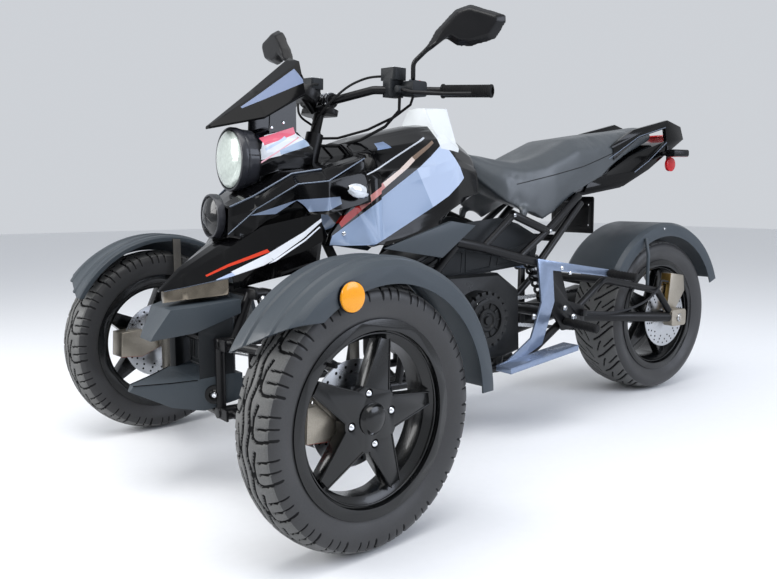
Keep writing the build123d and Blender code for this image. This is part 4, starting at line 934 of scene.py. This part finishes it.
for y, z in mouth["bolts"]:
    pieces.append(bolt("mouthBolt", (mouth["x"], y, z), ahead, mouth["bolt"], groundSteel))
for side in (1, -1):
    spot, lean = mirrored([maskEye["boltPlace"], maskEye["lean"]], side)
    pieces.append(bolt("eyeBolt", spot, lean, maskEye["bolt"], chrome))
    pieces.append(strand("lipSeam", mirrored(mouth["lipSeam"], side), mouth["seam"], glossBlack, 6))
keep(joined("maskMouth", pieces))
print("bolts done")

# Handlebar clamps, grips, kill switch and buttons

bar = {
    "pivot": (600, 0, 930), "rake": 15, "parked": 6.5, "x": 587.4, "z": 992, "clampEnds": (26, 50),
    "bandShares": (0.1, 0.72), "band": [(0, 19), (0, 21.3), (5, 21.3), (5, 19)],
    "clampBolt": 3.6, "clampBoltX": (16, -16), "clampBoltZ": 17,
    "gripStart": (-205.2, 263.5, 27.6), "gripEnd": (-252, 385, 24), "gripPast": 5, "gripRibs": 26,
    "flange": [(0, 11.3), (0, 19), (4, 19), (4.2, 16)], "gripTip": [(0, 17.5), (4, 17), (6, 12), (6, 11.3)],
    "lid": (-105, 178, 84), "screwX": 14, "screwY": 20, "screw": 3,
    "switchPlace": (-120, -212, 48), "switchLean": (0.2, 0, 1),
    "switch": [(0, 0), (0, 8), (5, 8), (8, 6), (8, 0)], "buttonPlace": (-155, 226, 49), "buttonStep": 16,
    "button": [(0, 0), (0, 5), (3.5, 4.6), (4.5, 3), (4.5, 0)],
}


def barTurned(point):
    # from the straight-ahead drawing to the parked handlebar, about the raked stem
    rake = radians(bar["rake"])
    pivot = Vector(bar["pivot"])
    spin = Matrix.Rotation(radians(bar["parked"]), 4, Vector((-sin(rake), 0, cos(rake))))
    return pivot + spin @ (Vector(point) - pivot)


def onBar(x, y, z):
    # a place counted from the middle of the bar
    return barTurned((bar["x"] + x, y, bar["z"] + z))


upward = (0, 0, 1)
controls = []
for side in (1, -1):
    start, end = [onBar(0, side * y, 0) for y in bar["clampEnds"]]
    run = end - start
    for share in bar["bandShares"]:
        place = facing(start + run * share, run)
        controls.append(turned("clampBand", bar["band"], place, groundSteel, 36))
    for y in bar["clampEnds"]:
        for x in bar["clampBoltX"]:
            spot = onBar(x, side * y, bar["clampBoltZ"])
            controls.append(bolt("clampBolt", spot, upward, bar["clampBolt"], groundSteel))
    start, end = [onBar(*point) for point in mirrored([bar["gripStart"], bar["gripEnd"]], side)]
    run = (end - start).normalized()
    reach = (end - start).length + bar["gripPast"]
    profile = list(bar["flange"])
    for k in range(1, bar["gripRibs"]):
        y = reach * k / bar["gripRibs"]
        profile += [(y, 15.4), (y + reach * 0.02, 16.6), (y + reach * 0.032, 16.6)]
    profile += [(reach + y, r) for y, r in bar["gripTip"]]
    grip = turned("grip", profile, facing(start, run), gripRubber, 40, 40)
    keep(grip, "handlebar", *(("grips",) if side < 0 else ()))
    x, y, z = bar["lid"]
    lid = onBar(x, side * y, z)
    for dx in (-bar["screwX"], bar["screwX"]):
        for dy in (-bar["screwY"], bar["screwY"]):
            controls.append(bolt("lidScrew", lid + Vector((dx, dy, 0)), upward, bar["screw"], groundSteel))
keep(joined("barHardware", controls), "handlebar")
place = facing(onBar(*bar["switchPlace"]), bar["switchLean"])
keep(turned("killSwitch", bar["switch"], place, redSwitch, 28), "handlebar")
buttons = []
x, y, z = bar["buttonPlace"]
for k, material in enumerate((redSwitch, matteGrey, matteGrey)):
    place = facing(onBar(x + bar["buttonStep"] * k, y, z), upward)
    buttons.append(turned("button", bar["button"], place, material, 20))
keep(joined("podButtons", buttons), "handlebar")
print("handlebar done")

# Drilled discs

drill = {"rings": ((78, 12), (90, 18), (103, 24)), "twist": 0.07, "radius": 3.4, "proud": 0.25, "thick": 4}


def drilled(name, place, face, body):
    # dark plugs of painted shade that read as holes through both faces of the disc
    low, high, radius = -drill["thick"] - drill["proud"], drill["proud"], drill["radius"]
    out = place.to_3x3() @ Vector((0, 1, 0))
    holes = []
    for ring, count in drill["rings"]:
        for k in range(count):
            angle = 2 * pi * (k + ring * drill["twist"]) / count
            spot = place @ (Vector((ring * cos(angle), face, ring * sin(angle))) * mm) / mm
            profile = [(low, 0), (low, radius), (high, radius), (high, 0)]
            holes.append(turned("hole", profile, facing(spot, out), recessShade, 10))
    keep(joined(name, holes), body)


drilled("rearDiscHoles", wheelPlace(0), 112, "rear_wheel")
drilled("frontDiscHolesLeft", wheelPlace(1), -22, "front_wheel_left")
drilled("frontDiscHolesRight", wheelPlace(-1), -22, "front_wheel_right")

# Fender reflectors and fixings

reflector = {
    "place": (948, 653.3, 546), "bezel": 4.4,
    "outline": [(0, 0), (0, 31.5), (4, 31.5), (4.5, 29.5), (8, 29), (9.5, 26), (10.5, 14), (10.8, 0)],
}
for side, word in bothSides:
    base = steered(side) @ (Vector(mirrored([reflector["place"]], side)[0]) * mm) / mm
    out = steered(side).to_3x3() @ Vector((0, side, 0))
    place = facing(base, out)
    lens = turned("reflectorLens" + word, reflector["outline"], place, amberLens, 48)
    lens.data.materials.append(glossBlack)
    for polygon in lens.data.polygons:
        if (polygon.center / mm - base).dot(out) < reflector["bezel"]:
            polygon.material_index = 1
    keep(lens, "knuckle_" + word.lower(), "fender_reflector_" + word.lower())
print("details done")

# Pegs with grip rubber ribs

# each peg: its two ends, its radius and how far out the rubber starts
pegs = {
    "rows": [((-222, 176, 330), (-238, 296, 318), 13, 34), ((-420, 184, 476), (-452, 276, 466), 12, 16)],
    "ribs": 9, "end": 4, "foot": 2.6, "crest": 1.8, "sunk": 1,
}
pegRibs = []
for side in (1, -1):
    for inner, outer, radius, inset in pegs["rows"]:
        start, end = [Vector(point) for point in mirrored([inner, outer], side)]
        run = end - start
        step = (run.length - inset - pegs["end"]) / (pegs["ribs"] - 1)
        low, high = radius - pegs["sunk"], radius + pegs["crest"]
        profile = [(-pegs["foot"], low), (-pegs["crest"], high), (pegs["crest"], high), (pegs["foot"], low)]
        for k in range(pegs["ribs"]):
            spot = start + run.normalized() * (inset + step * k)
            pegRibs.append(turned("rib", profile, facing(spot, run), gripRubber, 24))
keep(joined("pegGripRibs", pegRibs))

# Thin covers: panels under the beak and the fairing, and the air box sides behind the frame tubes

covers = {
    "beakSidePanel": [
        (908, 99, 541), (840, 165, 575), (770, 225, 607), (728, 232, 628), (716, 196, 566), (770, 178, 545),
        (824, 146, 530), (900, 92, 505),
    ],
    "throatPanel": [
        (846, 96, 642), (765, 140, 660), (700, 166, 674), (700, 176, 742), (765, 150, 738), (846, 104, 708),
    ],
}
coverThick = 3
for name, outline in covers.items():
    for side, word in bothSides:
        outer = mirrored(outline, side)
        inner = [(x, y - side * coverThick, z) for x, y, z in outer]
        keep(slab(name + word, outer, inner, glossBlack, 0.8))

airBox = {
    "y": 116, "thick": 5, "rib": 2.2,
    "outline": [
        (262, 484), (40, 507), (-130, 521), (-146, 560), (-150, 606), (-60, 648), (20, 668), (150, 656),
        (196, 640), (258, 560),
    ],
    "ribs": [
        [(250, 496), (176, 504), (172, 566), (206, 574), (250, 534), (250, 496)],
        [(158, 508), (60, 518), (52, 556), (158, 572), (158, 508)],
        [(30, 522), (-110, 534), (-118, 590), (20, 560), (30, 522)],
        [(262, 484), (40, 507), (-130, 521)],
    ],
}
for side, word in bothSides:
    y = side * airBox["y"]
    outer = [(x, y, z) for x, z in airBox["outline"]]
    inner = [(x, side * (airBox["y"] - airBox["thick"]), z) for x, z in airBox["outline"]]
    pieces = [slab("airBoxSide", outer, inner, airBoxPlastic, 1.2)]
    for line in airBox["ribs"]:
        pieces.append(strand("rib", [(x, y, z) for x, z in line], airBox["rib"], airBoxPlastic, 8))
    keep(joined("airBoxSide" + word, pieces))
print("covers done")

# Control cables from the pods and the left lever to the stem, drawn for the straight-ahead handlebar

cableRoutes = [
    ([(492, 214, 1000), (476, 196, 966), (484, 150, 925), (520, 92, 890), (566, 44, 872), (604, 14, 872)], 4.2),
    ([(470, 244, 1004), (452, 214, 982), (458, 158, 952), (496, 92, 918), (556, 36, 894), (598, 12, 892)], 3.6),
    ([(488, -226, 1004), (470, -200, 974), (482, -146, 930), (524, -84, 892), (572, -36, 880),
      (602, -14, 884)], 4.2),
]
cables = []
for line, wide in cableRoutes:
    cables.append(strand("cable", [barTurned(point) for point in line], wide, gripRubber, 12))
keep(joined("controlCables", cables), "handlebar")
print("cables done")

# Painted highlights: pale strands along the edges and ridges of the glossy panels, where those edges catch the
# light

# pale metallic grey for the strands, a painted highlight
edgeHighlight = surface("paintedEdgeHighlight", "6b7482", 0.25, metal=0.5, bump=0.05)
highlightLines = [
    ([(900, 76, 709), (850, 104, 735), (765, 150, 791), (690, 168, 803)], 2.4),
    ([(900, 64, 641), (850, 120, 703), (765, 182, 765), (690, 204, 773), (561, 172, 833)], 1.8),
    ([(1050, 10, 503), (1008, 41, 513.5), (918, 97, 535)], 2),
    ([(-620, 124.6, 815), (-700, 124.6, 857), (-800, 124.6, 925)], 1.6),
    ([(-480, 124.6, 858), (-640, 124.6, 940), (-790, 124.6, 978)], 1.6),
]
strips = []
for side in (1, -1):
    for line, wide in highlightLines:
        strips.append(strand("strip", mirrored(line, side), wide, edgeHighlight, 8))
keep(joined("edgeHighlightStrands", strips))
print("strips done")

# Light and floor

floorColor = surface("paleStudioFloor", "e9eaec", 0.7, grain=40, bump=0.02, mottle=0.02)
bpy.ops.mesh.primitive_plane_add(size=30, location=(0, 0, -0.0005))
floor = bpy.context.object
floor.name = "studioFloor"
floor.data.materials.append(floorColor)
world = bpy.data.worlds.new("paleStudio")
bpy.context.scene.world = world
world.use_nodes = True
world.node_tree.nodes["Background"].inputs["Color"].default_value = toLinear("eef2f8")
world.node_tree.nodes["Background"].inputs["Strength"].default_value = 0.72

# place, aim, width, power and colour of each soft light
lights = [
    ((1.2, 1.0, 3.8), (0, 0.1, 0.5), 3.0, 112, "ffffff"),
    ((-1.8, 3.4, 2.2), (-0.2, 0, 0.6), 2.4, 86, "e6eeff"),
    ((3.6, -1.4, 1.8), (0.7, 0, 0.5), 1.8, 75, "ffffff"),
]
for place, aim, wide, power, hexText in lights:
    bpy.ops.object.light_add(type="AREA", location=place)
    lamp = bpy.context.object
    lamp.data.size = wide
    lamp.data.energy = power
    lamp.data.color = toLinear(hexText)[:3]
    lamp.rotation_euler = (Vector(aim) - Vector(place)).to_track_quat("-Z", "Y").to_euler()
